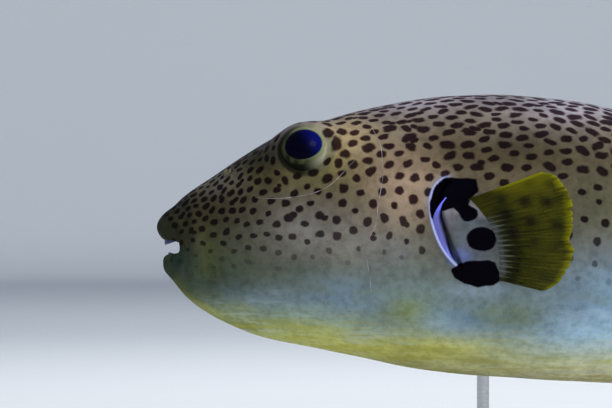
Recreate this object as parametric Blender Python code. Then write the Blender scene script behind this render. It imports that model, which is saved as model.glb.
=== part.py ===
"""Stellate puffer (Arothron stellatus), an adult at life size, on a plain display stand.

Run it with: blender --background --python part.py, or from Blender's text editor.

The fish is drawn in its own frame, in millimetres: x runs from the tip of the upper lip to the tail,
y from the fish's left side (-) to its right side (+), and z up from the line of the mouth.
row_frame() turns that into metres with +Z up, the origin under the middle of the fish on the floor.
The head points along -X.

The body is one skin of rings that start in the throat, roll round the lips and run back to the tail.
It is cut into lips, head, trunk and tail, and what grows from it is trimmed to fit it.
"""

import math

import bmesh
import bpy
import numpy as np
from mathutils import Vector

MM = 0.001

# Driving dimensions, in millimetres.
STANDARD_LENGTH = 500.0  # tip of the upper lip to the root of the tail fin
TAIL_FIN_LENGTH = 110.0
TOTAL_LENGTH = STANDARD_LENGTH + TAIL_FIN_LENGTH
BASE_THICKNESS = 12.0
BELLY_CLEARANCE = 58.0  # from the base to the lowest point of the belly
BELLY_DEPTH = 88.0  # from the line of the mouth down to that point
MOUTH_HEIGHT = BASE_THICKNESS + BELLY_CLEARANCE + BELLY_DEPTH

GAP = 0.3  # between two pieces that touch
SEAT_GAP = 0.42  # along x, where the lips lie on the slope of the head
RING_POINTS = 40
BODY_SPAN = 14.0  # the usual distance between two rings
LEAST_SPAN = 1.5  # between the end of a piece and its next ring

NECK = 168.0  # where the head ends, just before the gill openings
VENT = 350.0  # where the trunk ends and the tail begins

# The rings round the mouth, from the throat out over the lips to the face:
# x at the top, at the mouth's corner and at the bottom, half width, top, bottom, squareness.
MOUTH_RINGS = (
    (30.0, 30.0, 30.0, 8.0, 5.0, -5.0, 2.2),  # throat
    (18.0, 22.0, 18.0, 13.0, 8.5, -9.0, 2.4),  # inside the mouth
    (9.5, 19.6, 10.5, 14.0, 6.8, -7.6, 2.8),  # behind the lips
    (5.6, 17.3, 7.3, 13.6, 4.7, -4.9, 3.2),  # the lips' free edge
    (2.4, 16.0, 4.8, 14.8, 6.9, -6.4, 3.0),
    (0.0, 15.5, 3.9, 16.6, 12.8, -10.0, 2.6),  # the front of the lips
    (2.3, 16.4, 4.7, 18.8, 18.9, -14.8, 2.4),
    (5.6, 18.2, 7.2, 20.6, 22.6, -18.3, 2.3),
    (10.5, 20.6, 11.2, 22.0, 26.3, -22.8, 2.3),  # the fold behind the lips
    (16.0, 23.5, 17.0, 25.8, 31.5, -30.0, 2.3),
)
LIP_FIRST, LIP_LAST = 2, 8  # the rings between which the lips lie
LIP_SEAT = (19.0, 24.0, 20.0, 17.0, 15.0, -15.0, 2.4)  # how far the lips reach into the head

# The body behind the mouth, as (x, value) pairs.
BACK_LINE = (
    (32, 43), (46, 52.5), (62, 62.8), (72, 68.3), (80, 73.2), (88, 76.8), (100, 79.4), (125, 86.4),
    (150, 92.4), (178, 97.2), (207, 98.9), (235, 98.3), (265, 95.4), (300, 88.6), (340, 77), (380, 62),
    (420, 47.5), (450, 40.5), (475, 38), (500, 39.5),
)  # fmt: skip
BELLY_LINE = (
    (32, -42), (46, -49.6), (62, -56), (80, -60.7), (100, -64.6), (125, -69.8), (150, -75), (178, -80),
    (210, -83.4), (240, -85.2), (270, -86.8), (300, -88), (325, -84.5), (350, -76), (375, -62.5), (400, -46),
    (425, -31), (450, -20.5), (475, -15), (500, -15.5),
)  # fmt: skip
HALF_WIDTH = (
    (32, 29.5), (46, 37.5), (62, 45.5), (80, 51.5), (100, 57.5), (125, 64.5), (150, 70), (178, 74),
    (210, 76.5), (240, 77), (270, 75.5), (300, 71.5), (330, 64.5), (360, 54), (390, 41), (420, 29),
    (450, 20), (475, 15), (500, 10.5),
)  # fmt: skip
WIDEST_HEIGHT = ((32, 0), (80, 2), (178, 2), (240, 1), (300, 1), (350, 4), (400, 9), (450, 12), (500, 12))
SQUARENESS_ABOVE = ((32, 2.4), (62, 2.9), (95, 4.0), (130, 3.0), (180, 2.4), (350, 2.1), (420, 2), (500, 2))
SQUARENESS_BELOW = ((32, 2.3), (95, 2.3), (180, 2.25), (300, 2.3), (400, 2.1), (500, 2))
SECTIONS = (32, 46, 62, 80, 90, 100, 125, 150, 178, 210, 240, 270, 300, 325, 350, 375, 400, 425, 450, 475, 500)
TAIL_TIP_RING = (505.0, 505.0, 505.0, 5.0, 34.0, -10.0, 2.0)  # the rounded end, inside the tail fin's root

# Eyes, measured on the left side; the right side mirrors it.
EYE_PLACE = (95.2, 64.6)  # x, z
EYE_RADIUS = 17.0
EYE_DEPTH = 13.0  # from the skin's own surface in to the eye's centre
BROW_HEIGHT, BROW_REACH = 6.5, 22.0  # the swelling that carries the eye
BROW_AHEAD, BROW_ABOVE = 5.0, 4.0  # its middle, from the eye's centre
BROW_TILT = math.radians(45)  # how far upward it swells
EYE_STAND = 5.0  # how far the skin by the eye stands off the plain side of the body
LOOK_UP, LOOK_AHEAD = math.radians(19), math.radians(6)

# Gill opening: a crescent between two arcs, and the fleshy lobe of the pectoral fin behind it.
GILL_CENTRE, GILL_RADIUS = (208.5, 19.5), 35.5
GILL_WIDTH, GILL_DEPTH = 8.5, 9.0
GILL_SPREAD, GILL_TILT = math.radians(58), math.radians(-7)  # half the arc; its middle below level
LOBE_CENTRE, LOBE_REACH, LOBE_HEIGHT = (203.0, 7.0), (19.0, 29.0), 4.0

NOSTRIL_PLACE = (46.0, 47.0)  # x, z
NOSTRIL_HEIGHT, NOSTRIL_SPLAY = 4.5, math.radians(24)

PECTORAL_ROOT = ((0, 200, 31), (0.5, 211, 8), (1, 215, -19))  # place along it, x, z
DORSAL_ROOT = (352.0, 398.0)
ANAL_ROOT = (368.0, 408.0)
TAIL_FIN_ROOT = (36.0, -12.0)  # z of its first and last ray
ROOT_SUNK = 6.0  # how deep a fin is drawn into the flesh before it is trimmed

# Display stand.
BASE_SIZE = (280.0, 150.0)
BASE_MIDDLE = 235.0  # x, under the fish's centre of mass
BASE_CORNER, BASE_BEVEL, SOLE_BEVEL = 24.0, 2.5, 0.6
ROD_RADIUS = 4.0
ROD_PLACES = (("front", 212.0), ("rear", 310.0))
ROD_GRIP = 16.0  # how deep a rod stands in the belly
ROD_SOLE = 2.0  # material left under a rod in the base
COLLAR_RADIUS, COLLAR_HEIGHT = 10.0, 5.0


def row_frame(points):
    """Points of the fish's own frame, in millimetres, as metres in the model's frame."""
    return (np.asarray(points, float) + (-TOTAL_LENGTH / 2, 0.0, MOUTH_HEIGHT)) * MM


def smooth_curve(points):
    """A function that follows a natural cubic spline through (position, value, value...) rows."""
    rows = np.array(points, float)
    at, values = rows[:, 0], rows[:, 1:]
    span = np.diff(at)
    system = np.eye(len(at))
    bend = np.zeros_like(values)
    for i in range(1, len(at) - 1):
        system[i, i - 1 : i + 2] = span[i - 1], 2 * (span[i - 1] + span[i]), span[i]
        rise = np.diff(values[i - 1 : i + 2], axis=0) / span[i - 1 : i + 1, None]
        bend[i] = 6 * (rise[1] - rise[0])
    bend = np.linalg.solve(system, bend)

    def curve(position):
        position = np.clip(np.asarray(position, float), at[0], at[-1])
        i = np.clip(np.searchsorted(at, position) - 1, 0, len(span) - 1)
        width = span[i][..., None]
        before = (at[i + 1] - position)[..., None]
        after = (position - at[i])[..., None]
        found = (bend[i] * before**3 + bend[i + 1] * after**3) / (6 * width)
        found += (values[i] / width - bend[i] * width / 6) * before
        found += (values[i + 1] / width - bend[i + 1] * width / 6) * after
        return found[..., 0] if values.shape[1] == 1 else found

    return curve


back_line = smooth_curve(BACK_LINE)
belly_line = smooth_curve(BELLY_LINE)
half_width = smooth_curve(HALF_WIDTH)
widest_height = smooth_curve(WIDEST_HEIGHT)
squareness_above = smooth_curve(SQUARENESS_ABOVE)
squareness_below = smooth_curve(SQUARENESS_BELOW)


def mouth_ring(x_top, x_corner, x_bottom, width, top, bottom, squareness, height=0.0):
    """One ring's values: the three x, half width, top, bottom, height of its sides, two squarenesses."""
    return (x_top, x_corner, x_bottom, width, top, bottom, height, squareness, squareness)


def section_ring(x):
    """The upright section of the body at x, with the same values as a mouth ring."""
    return (
        x, x, x, half_width(x), back_line(x), belly_line(x), widest_height(x),
        squareness_above(x), squareness_below(x),
    )  # fmt: skip


def key_rings():
    """All the rings that shape the body, throat first, each with its place along the skin in front."""
    rings = [mouth_ring(*values) for values in MOUTH_RINGS]
    rings += [section_ring(x) for x in SECTIONS]
    rings.append(mouth_ring(*TAIL_TIP_RING, height=widest_height(STANDARD_LENGTH)))
    rings = np.array(rings, float)
    outline = np.stack([rings[:, [0, 4]], rings[:, [1, 3]], rings[:, [2, 5]]], 1)
    steps = np.linalg.norm(np.diff(outline, axis=0), axis=2).mean(1)
    return np.column_stack([np.concatenate([[0], np.cumsum(steps)]), rings])


KEY_RINGS = key_rings()
ring_values = smooth_curve(KEY_RINGS)


def ring_points(values, angle):
    """Points of a superellipse ring. The lips and the face bow forward between the mouth's corners."""
    x_top, x_corner, x_bottom, width, top, bottom, height, above, below = np.moveaxis(values, -1, 0)
    upper = np.sin(angle) >= 0
    power = np.where(upper, above, below)
    reach = (np.abs(np.cos(angle)) ** power + np.abs(np.sin(angle)) ** power) ** (-1 / power)
    y = width * reach * np.cos(angle)
    z = height + np.where(upper, top - height, height - bottom) * reach * np.sin(angle)
    x_middle = np.where(upper, x_top, x_bottom)
    x = x_middle + (x_corner - x_middle) * np.abs(reach * np.cos(angle)) ** 2.2
    return np.stack([x, y, z], -1)


def swell(points):
    """Adds the brows that carry the eyes and the lobes that carry the pectoral fins."""
    x, y, z = np.moveaxis(points, -1, 0)
    for side in (-1, 1):
        centre, _ = eye_frame(side)
        away = np.linalg.norm(points - (np.array(centre) + (-BROW_AHEAD, 0, BROW_ABOVE)), axis=-1)
        push = np.array((0.0, side * math.cos(BROW_TILT), math.sin(BROW_TILT)))
        points = points + push * (BROW_HEIGHT * np.exp(-((away / BROW_REACH) ** 4)))[..., None]
    off_x, off_z = (x - LOBE_CENTRE[0]) / LOBE_REACH[0], (z - LOBE_CENTRE[1]) / LOBE_REACH[1]
    lobe = LOBE_HEIGHT * np.exp(-((off_x**2 + off_z**2) ** 2))
    return points + np.stack([0 * lobe, np.sign(y) * lobe, 0 * lobe], -1)


def side_of_body(x, z):
    """Distance of the skin from the middle plane at x and z, before any swelling."""
    values = np.array(section_ring(x), float)
    width, top, bottom, height, above, below = values[3:]
    if z > height:
        share, power = (z - height) / (top - height), above
    else:
        share, power = (height - z) / (height - bottom), below
    return width * (1 - min(share, 1) ** power) ** (1 / power)


def eye_frame(side):
    """Centre of the eye on this side (-1 is left), and the direction it looks in."""
    x, z = EYE_PLACE
    look = Vector((
        -math.sin(LOOK_AHEAD) * math.cos(LOOK_UP),
        side * math.cos(LOOK_AHEAD) * math.cos(LOOK_UP),
        math.sin(LOOK_UP),
    ))  # fmt: skip
    return Vector((x, side * (side_of_body(x, z) + EYE_STAND), z)) - look * EYE_DEPTH, look


def skin_rings(first, last, spread, gap_first=0.0, gap_last=0.0):
    """Rings of the finished skin between two places along it, about spread apart, key rings included."""
    keys = [u for u in KEY_RINGS[:, 0] if first + LEAST_SPAN < u < last - LEAST_SPAN]
    stops = np.array([first + gap_first, *keys, last - gap_last])
    places = [stops[0]]
    for start, stop in zip(stops[:-1], stops[1:]):
        parts = max(1, round((stop - start) / spread))
        places += list(np.linspace(start, stop, parts + 1)[1:])
    angles = np.arange(RING_POINTS) * 2 * np.pi / RING_POINTS
    values = ring_values(np.array(places))[:, None, :]
    return swell(ring_points(values, angles[None, :]))


def plain_rings(rings):
    """Points of rings given by mouth_ring values."""
    angles = np.arange(RING_POINTS) * 2 * np.pi / RING_POINTS
    return ring_points(np.array(rings, float)[:, None, :], angles[None, :])


def place_of(x):
    """How far along the skin the upright section at x lies."""
    places = np.linspace(KEY_RINGS[len(MOUTH_RINGS), 0], KEY_RINGS[-1, 0], 2000)
    return float(np.interp(x, ring_values(places)[:, 1], places))


def ring_place(index):
    return float(KEY_RINGS[index, 0])


def make_material(name, colour, roughness, metallic=0.0):
    material = bpy.data.materials.new(name)
    material.use_nodes = True
    shader = material.node_tree.nodes["Principled BSDF"]
    shader.inputs["Base Color"].default_value = (*colour, 1.0)
    shader.inputs["Roughness"].default_value = roughness
    shader.inputs["Metallic"].default_value = metallic
    return material


def add_object(name, vertices, faces, material, smooth=True):
    mesh = bpy.data.meshes.new(name)
    mesh.from_pydata([tuple(v) for v in vertices], [], faces)
    work = bmesh.new()
    work.from_mesh(mesh)
    bmesh.ops.remove_doubles(work, verts=work.verts, dist=1e-6)
    bmesh.ops.recalc_face_normals(work, faces=work.faces)
    work.to_mesh(mesh)
    work.free()
    if smooth:
        mesh.shade_smooth()
        mesh.set_sharp_from_angle(angle=math.radians(40))
    made = bpy.data.objects.new(name, mesh)
    bpy.context.scene.collection.objects.link(made)
    if material is not None:
        mesh.materials.append(material)
    return made


def tube_faces(rows, columns, close_ends=True, close_loop=False):
    """Quads between rings of points, with the two open ends capped."""
    faces = []
    for i in range(rows if close_loop else rows - 1):
        here, after = i * columns, (i + 1) % rows * columns
        for j in range(columns):
            beside = (j + 1) % columns
            faces.append((here + j, here + beside, after + beside, after + j))
    if close_ends and not close_loop:
        faces.append(tuple(range(columns))[::-1])
        faces.append(tuple((rows - 1) * columns + j for j in range(columns)))
    return faces


def add_tube(name, rings, material):
    """A closed solid through rings of points."""
    rows, columns, _ = rings.shape
    return add_object(name, row_frame(rings.reshape(-1, 3)), tube_faces(rows, columns), material)


def cut(target, cutter):
    """Takes cutter out of target, and keeps cutter out of the model."""
    cutter.hide_render = True
    cutter.display_type = "WIRE"
    modifier = target.modifiers.new("cut_" + cutter.name, "BOOLEAN")
    modifier.operation = "DIFFERENCE"
    modifier.solver = "EXACT"
    modifier.object = cutter


def grown(name, source, distance):
    """A hidden copy of an object, larger all round by distance, that trims its neighbours."""
    mesh = source.data.copy()
    work = bmesh.new()
    work.from_mesh(mesh)
    work.normal_update()
    moved = [(v, v.co + v.normal * distance * MM) for v in work.verts]
    for vertex, place in moved:
        vertex.co = place
    work.to_mesh(mesh)
    work.free()
    made = bpy.data.objects.new(name, mesh)
    bpy.context.scene.collection.objects.link(made)
    made.hide_render = True
    made.display_type = "WIRE"
    return made


def lip_strip(name, upper, material):
    """One lip: the skin's roll from behind the lip to the fold, closed through the flesh behind it."""
    roll = skin_rings(ring_place(LIP_FIRST), ring_place(LIP_LAST), spread=3.0)
    loop = np.concatenate([roll, plain_rings([mouth_ring(*LIP_SEAT)])])
    half = RING_POINTS // 2
    columns = list(range(0, half + 1)) if upper else [*range(half, RING_POINTS), 0]
    strip = loop[:, columns].copy()
    strip[:, [0, -1], 2] += GAP / 2 if upper else -GAP / 2
    return add_tube(name, np.swapaxes(strip, 0, 1), material)


def head_rings():
    """The head from the throat to the neck, with the seat of the lips behind the fold."""
    mouth = skin_rings(ring_place(0), ring_place(LIP_FIRST), spread=8.0)[:-1]
    edges = (MOUTH_RINGS[LIP_FIRST], LIP_SEAT, MOUTH_RINGS[LIP_LAST])
    seat = plain_rings([mouth_ring(*values) for values in edges])
    seat[:, :, 0] += SEAT_GAP
    face = skin_rings(ring_place(LIP_LAST) + 1.0, place_of(NECK), BODY_SPAN, gap_last=GAP / 2)
    return np.concatenate([mouth, seat, face])


def add_eyes(head, material):
    for side, word in ((-1, "left"), (1, "right")):
        centre, look = eye_frame(side)
        add_ball("eye_" + word, centre, EYE_RADIUS, look, material)
        cut(head, add_ball("socket_" + word, centre, EYE_RADIUS + GAP, look, None))


def add_ball(name, centre, radius, axis, material):
    """A ball whose poles lie on axis, where its rings are finest."""
    around, rows = 20, 11
    turn = Vector((0, 0, 1)).rotation_difference(Vector(axis)).to_matrix()
    vertices = [turn @ Vector((0, 0, radius)) + Vector(centre)]
    for i in range(1, rows):
        tilt = math.pi * i / rows
        for j in range(around):
            spin = 2 * math.pi * j / around
            local = Vector((math.sin(tilt) * math.cos(spin), math.sin(tilt) * math.sin(spin), math.cos(tilt)))
            vertices.append(turn @ (local * radius) + Vector(centre))
    vertices.append(turn @ Vector((0, 0, -radius)) + Vector(centre))
    last = len(vertices) - 1
    faces = []
    for j in range(around):
        beside = (j + 1) % around
        faces.append((0, 1 + j, 1 + beside))
        for i in range(rows - 2):
            row = 1 + i * around
            faces.append((row + j, row + around + j, row + around + beside, row + beside))
        faces.append((last, last - around + beside, last - around + j))
    return add_object(name, row_frame([tuple(v) for v in vertices]), faces, material)


def add_gill_cutter(name, side):
    """A crescent prism that reaches GILL_DEPTH into the side of the trunk."""
    steps = 12
    x_middle, z_middle = GILL_CENTRE
    skin = side_of_body(x_middle - GILL_RADIUS, z_middle) + LOBE_HEIGHT
    outline = []
    for i in range(steps + 1):
        share = 2 * i / steps - 1
        turn = GILL_TILT + GILL_SPREAD * share
        outline.append((x_middle - GILL_RADIUS * math.cos(turn), z_middle + GILL_RADIUS * math.sin(turn)))
    for i in range(steps - 1, 0, -1):
        share = 2 * i / steps - 1
        turn = GILL_TILT + GILL_SPREAD * share
        inner = GILL_RADIUS - GILL_WIDTH * math.cos(share * math.pi / 2)
        outline.append((x_middle - inner * math.cos(turn), z_middle + inner * math.sin(turn)))
    rings = np.array([
        [(x, side * y, z) for x, z in outline] for y in (skin - GILL_DEPTH, skin + 3 * GILL_DEPTH)
    ])  # fmt: skip
    return add_tube(name, rings, None)


def fin_sheet(root, angle, length, outward, lean, rays, steps):
    """The middle surface of a fin: one row of points for each ray, from its root to its tip.

    root, angle and length are functions of the place along the fin's root, 0 to 1. A ray sets out lean[0]
    away from the body's middle plane, towards outward, and bends to lean[1] by its tip.
    """
    outward = np.array(outward, float)
    points = np.zeros((rays, steps, 3))
    for i, place in enumerate(np.linspace(0, 1, rays)):
        heading = np.array((math.cos(angle(place)), 0.0, math.sin(angle(place))))
        points[i, 0] = root(place)
        for j in range(1, steps):
            turn = lean[0] + (lean[1] - lean[0]) * (j - 0.5) / (steps - 1)
            step = heading * math.cos(turn) + outward * math.sin(turn)
            points[i, j] = points[i, j - 1] + step * length(place) / (steps - 1)
    return points


def add_fin(name, points, thickness, material):
    """Closes a sheet of points into a solid that thins from its root to its edge."""
    rays, steps, _ = points.shape
    normals = np.cross(np.gradient(points, axis=0), np.gradient(points, axis=1))
    normals /= np.linalg.norm(normals, axis=2, keepdims=True)
    along = np.linspace(0, 1, steps)
    half = np.interp(along, (0, 0.25, 1), (thickness[0], thickness[0] * 0.6, thickness[1])) / 2
    faces = []
    count = rays * steps
    for i in range(rays - 1):
        for j in range(steps - 1):
            corner = i * steps + j
            quad = (corner, corner + 1, corner + steps + 1, corner + steps)
            faces.append(quad)
            faces.append(tuple(count + v for v in quad[::-1]))
    border = [i * steps for i in range(rays)]
    border += [(rays - 1) * steps + j for j in range(1, steps)]
    border += [i * steps + steps - 1 for i in range(rays - 2, -1, -1)]
    border += list(range(steps - 2, 0, -1))
    for here, after in zip(border, border[1:] + border[:1]):
        faces.append((here, after, count + after, count + here))
    thick = normals * half[None, :, None]
    vertices = np.concatenate([(points + thick).reshape(-1, 3), (points - thick).reshape(-1, 3)])
    return add_object(name, row_frame(vertices), faces, material)


def add_pectoral_fin(side, word, material):
    root_line = smooth_curve(PECTORAL_ROOT)
    length = smooth_curve(((0, 60), (0.12, 66), (0.25, 67), (0.45, 63), (0.75, 56), (0.88, 48), (1, 36)))
    angle = smooth_curve(((0, math.radians(20.5)), (0.5, math.radians(7)), (1, math.radians(-14))))

    def root(place):
        x, z = root_line(place)
        return (x - ROOT_SUNK / 2, side * (side_of_body(x, z) + LOBE_HEIGHT - ROOT_SUNK), z)

    lean = (math.radians(56), math.radians(26))
    points = fin_sheet(root, angle, lambda place: length(place) + ROOT_SUNK, (0, side, 0), lean, 13, 7)
    return add_fin("fin_pectoral_" + word, points, (5.0, 0.9), material)


def add_dorsal_fin(material):
    first, last = DORSAL_ROOT
    length = smooth_curve(((0, 38), (0.15, 64), (0.4, 80), (0.65, 80), (0.85, 64), (1, 40)))

    def root(place):
        x = first + (last - first) * place
        return (x, 0.0, back_line(x) - ROOT_SUNK)

    def angle(place):
        return math.radians(72 - 50 * place)

    lean = (math.radians(-5), math.radians(12))
    points = fin_sheet(root, angle, lambda place: length(place) + ROOT_SUNK, (0, 1, 0), lean, 9, 7)
    return add_fin("fin_dorsal", points, (5.0, 0.9), material)


def add_anal_fin(material):
    first, last = ANAL_ROOT
    length = smooth_curve(((0, 32), (0.15, 55), (0.4, 69), (0.65, 69), (0.85, 54), (1, 34)))

    def root(place):
        x = first + (last - first) * place
        return (x, 0.0, belly_line(x) + ROOT_SUNK)

    def angle(place):
        return math.radians(-72 + 50 * place)

    lean = (math.radians(-5), math.radians(12))
    points = fin_sheet(root, angle, lambda place: length(place) + ROOT_SUNK, (0, 1, 0), lean, 8, 7)
    return add_fin("fin_anal", points, (4.5, 0.9), material)


def add_tail_fin(material):
    top, bottom = TAIL_FIN_ROOT
    length = smooth_curve(((0, 88), (0.2, 103), (0.5, TAIL_FIN_LENGTH), (0.8, 103), (1, 88)))

    def root(place):
        return (STANDARD_LENGTH - ROOT_SUNK, 0.0, top + (bottom - top) * place)

    def angle(place):
        return math.radians(19 - 38 * place)

    points = fin_sheet(root, angle, lambda place: length(place) + ROOT_SUNK, (0, 1, 0), (0.0, 0.0), 9, 7)
    return add_fin("fin_caudal", points, (7.0, 1.0), material)


def add_teeth(name, upper, material):
    """The beak of one jaw: a plate bent to the arch of the lips."""
    steps = 12
    width, front, back, thick = 10.5, 4.8 if upper else 7.2, 15.0, 2.6
    root_height, edge_height = (10.0, 1.2) if upper else (-10.5, -3.2)
    rings = []
    for i in range(steps + 1):
        turn = math.radians(-78 + 156 * i / steps)
        edge = edge_height + (root_height - edge_height) * 0.45 * (1 - math.cos(turn))
        ring = []
        for inset, height in ((0.0, edge), (2.2, root_height), (2.2 + thick, root_height), (0.9, edge)):
            reach = 1 - inset / width
            x = back - (back - front) * math.cos(turn) * (1 - inset / (back - front))
            ring.append((x, width * reach * math.sin(turn), height))
        rings.append(ring)
    return add_tube(name, np.array(rings), material)


def add_nostril(side, word, material):
    """The forked flap of skin that carries the organ of smell."""
    x, z = NOSTRIL_PLACE
    foot = Vector((x, side * side_of_body(x, z), z))
    up = Vector((0.25, side * 0.62, 0.74)).normalized()
    ahead = Vector((1, 0, 0)).cross(up).cross(up).normalized()
    lobes = []
    for sign in (-1, 1):
        axis = (up * math.cos(NOSTRIL_SPLAY) + ahead * sign * math.sin(NOSTRIL_SPLAY)).normalized()
        flat = axis.cross(up.cross(ahead)).normalized()
        wide = up.cross(ahead).normalized()
        rings = []
        for share, size in ((-0.45, 0.9), (0.0, 1.0), (0.45, 1.25), (0.8, 1.05), (1.0, 0.45)):
            middle = foot + axis * NOSTRIL_HEIGHT * share
            rings.append([
                middle + flat * 1.0 * size * math.cos(q) + wide * 1.9 * size * math.sin(q)
                for q in np.arange(10) * 2 * math.pi / 10
            ])  # fmt: skip
        lobes.append(add_tube(f"nostril_{word}_{sign}", np.array(rings), material))
    first, second = lobes
    union = first.modifiers.new("join", "BOOLEAN")
    union.operation = "UNION"
    union.solver = "EXACT"
    union.object = second
    second.hide_render = True
    second.display_type = "WIRE"
    first.name = "nostril_" + word
    return first


def rounded_plate(size, corner, bottom, top, bevel):
    """Rings of a rounded rectangle, from its sole to its upper face, with a bevelled upper edge."""
    corner_steps = 4
    levels = ((bottom, SOLE_BEVEL), (bottom + SOLE_BEVEL, 0.0), (top - bevel, 0.0),
              (top - bevel * 0.3, bevel * 0.3), (top, bevel))  # fmt: skip
    rings = []
    for height, inset in levels:
        ring = []
        for quarter, (sign_x, sign_y) in enumerate(((1, 1), (-1, 1), (-1, -1), (1, -1))):
            for i in range(corner_steps + 1):
                turn = math.pi / 2 * (quarter + i / corner_steps)
                reach = corner - inset
                x = sign_x * (size[0] / 2 - corner) + reach * math.cos(turn)
                y = sign_y * (size[1] / 2 - corner) + reach * math.sin(turn)
                ring.append((BASE_MIDDLE + x, y, height))
        rings.append(ring)
    return np.array(rings)


def add_rod(name, x, radius, bottom, top, material, around=16):
    turns = np.arange(around) * 2 * math.pi / around
    rings = [[(x + radius * math.cos(q), radius * math.sin(q), z) for q in turns] for z in (bottom, top)]
    return add_tube(name, np.array(rings), material)


def add_collar(name, x, floor, material, around=16):
    """The ring that hides a rod's foot: a turned profile with an open bore."""
    inner = ROD_RADIUS + GAP
    profile = (
        (inner, floor + GAP), (COLLAR_RADIUS, floor + GAP), (COLLAR_RADIUS, floor + COLLAR_HEIGHT * 0.6),
        (COLLAR_RADIUS - 1.2, floor + COLLAR_HEIGHT), (inner, floor + COLLAR_HEIGHT),
    )  # fmt: skip
    turns = np.arange(around) * 2 * math.pi / around
    rings = [[(x + r * math.cos(q), r * math.sin(q), z) for r, z in profile] for q in turns]
    vertices = row_frame(np.array(rings).reshape(-1, 3))
    return add_object(name, vertices, tube_faces(around, len(profile), close_loop=True), material)


def add_stand(trunk, wood, steel):
    floor = -MOUTH_HEIGHT
    deck = floor + BASE_THICKNESS
    base = add_tube("stand_base", rounded_plate(BASE_SIZE, BASE_CORNER, floor, deck, BASE_BEVEL), wood)
    for word, x in ROD_PLACES:
        top = float(belly_line(x)) + ROD_GRIP
        add_rod("stand_rod_" + word, x, ROD_RADIUS, floor + ROD_SOLE, top, steel)
        hole = add_rod("rod_hole_" + word, x, ROD_RADIUS + GAP, floor + ROD_SOLE - GAP, top + GAP, None)
        cut(base, hole)
        cut(trunk, hole)
        add_collar("stand_collar_" + word, x, deck, steel)


def clear_scene():
    for old in list(bpy.data.objects):
        bpy.data.objects.remove(old)


def build():
    clear_scene()
    skin = make_material("skin", (0.30, 0.27, 0.18), 0.45)
    lip_skin = make_material("lips", (0.10, 0.11, 0.07), 0.4)
    fin_skin = make_material("fin", (0.30, 0.30, 0.05), 0.4)
    eye_glass = make_material("eye", (0.01, 0.01, 0.05), 0.05)
    enamel = make_material("teeth", (0.62, 0.62, 0.55), 0.3)
    wood = make_material("stand_wood", (0.05, 0.035, 0.025), 0.4)
    steel = make_material("stand_steel", (0.6, 0.6, 0.6), 0.3, metallic=1.0)

    neck, vent, end = place_of(NECK), place_of(VENT), float(KEY_RINGS[-1, 0])
    whole = add_tube("whole_body", skin_rings(0.0, end, BODY_SPAN), skin)
    clearance = grown("body_clearance", whole, GAP)
    whole.hide_render = True
    whole.display_type = "WIRE"

    head = add_tube("head", head_rings(), skin)
    lip_strip("lip_upper", True, lip_skin)
    lip_strip("lip_lower", False, lip_skin)
    trunk = add_tube("trunk", skin_rings(neck, vent, BODY_SPAN, gap_first=GAP / 2, gap_last=GAP / 2), skin)
    add_tube("tail", skin_rings(vent, end, BODY_SPAN, gap_first=GAP / 2), skin)

    add_eyes(head, eye_glass)
    for side, word in ((-1, "left"), (1, "right")):
        cut(trunk, add_gill_cutter("gill_slit_" + word, side))
        cut(add_pectoral_fin(side, word, fin_skin), clearance)
        cut(add_nostril(side, word, skin), clearance)
    for fin in (add_dorsal_fin(fin_skin), add_anal_fin(fin_skin), add_tail_fin(fin_skin)):
        cut(fin, clearance)
    for upper, word in ((True, "upper"), (False, "lower")):
        cut(add_teeth("teeth_" + word, upper, enamel), clearance)
    add_stand(trunk, wood, steel)


build()
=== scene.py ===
"""The looks of the stellate puffer: one spotted skin, fins with rays, eyes, beak, stand, light and camera.

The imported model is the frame. The fish is drawn in its own frame, in millimetres, as the model's source
does: x from the tip of the upper lip to the tail, y from its left side (-) to its right side (+), and z up
from the line of the mouth. row_frame() turns that into the model's metres.
"""

import math

import bmesh
import bpy
import numpy as np
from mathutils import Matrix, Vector
from mathutils.bvhtree import BVHTree
from mathutils.interpolate import poly_3d_calc
from mathutils.kdtree import KDTree


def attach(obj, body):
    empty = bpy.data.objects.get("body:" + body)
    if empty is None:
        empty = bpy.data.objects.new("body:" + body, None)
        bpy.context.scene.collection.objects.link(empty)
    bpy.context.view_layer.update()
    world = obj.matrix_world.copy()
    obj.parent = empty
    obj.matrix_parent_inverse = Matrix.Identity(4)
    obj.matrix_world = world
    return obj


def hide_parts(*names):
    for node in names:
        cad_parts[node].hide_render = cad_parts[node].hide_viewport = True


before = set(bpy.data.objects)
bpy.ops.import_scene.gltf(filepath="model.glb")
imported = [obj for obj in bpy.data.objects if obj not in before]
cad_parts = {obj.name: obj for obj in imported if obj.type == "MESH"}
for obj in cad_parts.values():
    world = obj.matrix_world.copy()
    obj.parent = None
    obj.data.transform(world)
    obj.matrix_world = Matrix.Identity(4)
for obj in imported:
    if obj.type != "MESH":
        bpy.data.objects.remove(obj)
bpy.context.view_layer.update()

MM = 0.001

# The fish's measures, as the model's source has them, in millimetres.
STANDARD_LENGTH = 500.0
TAIL_FIN_LENGTH = 110.0
TOTAL_LENGTH = STANDARD_LENGTH + TAIL_FIN_LENGTH
MOUTH_HEIGHT = 158.0

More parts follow.
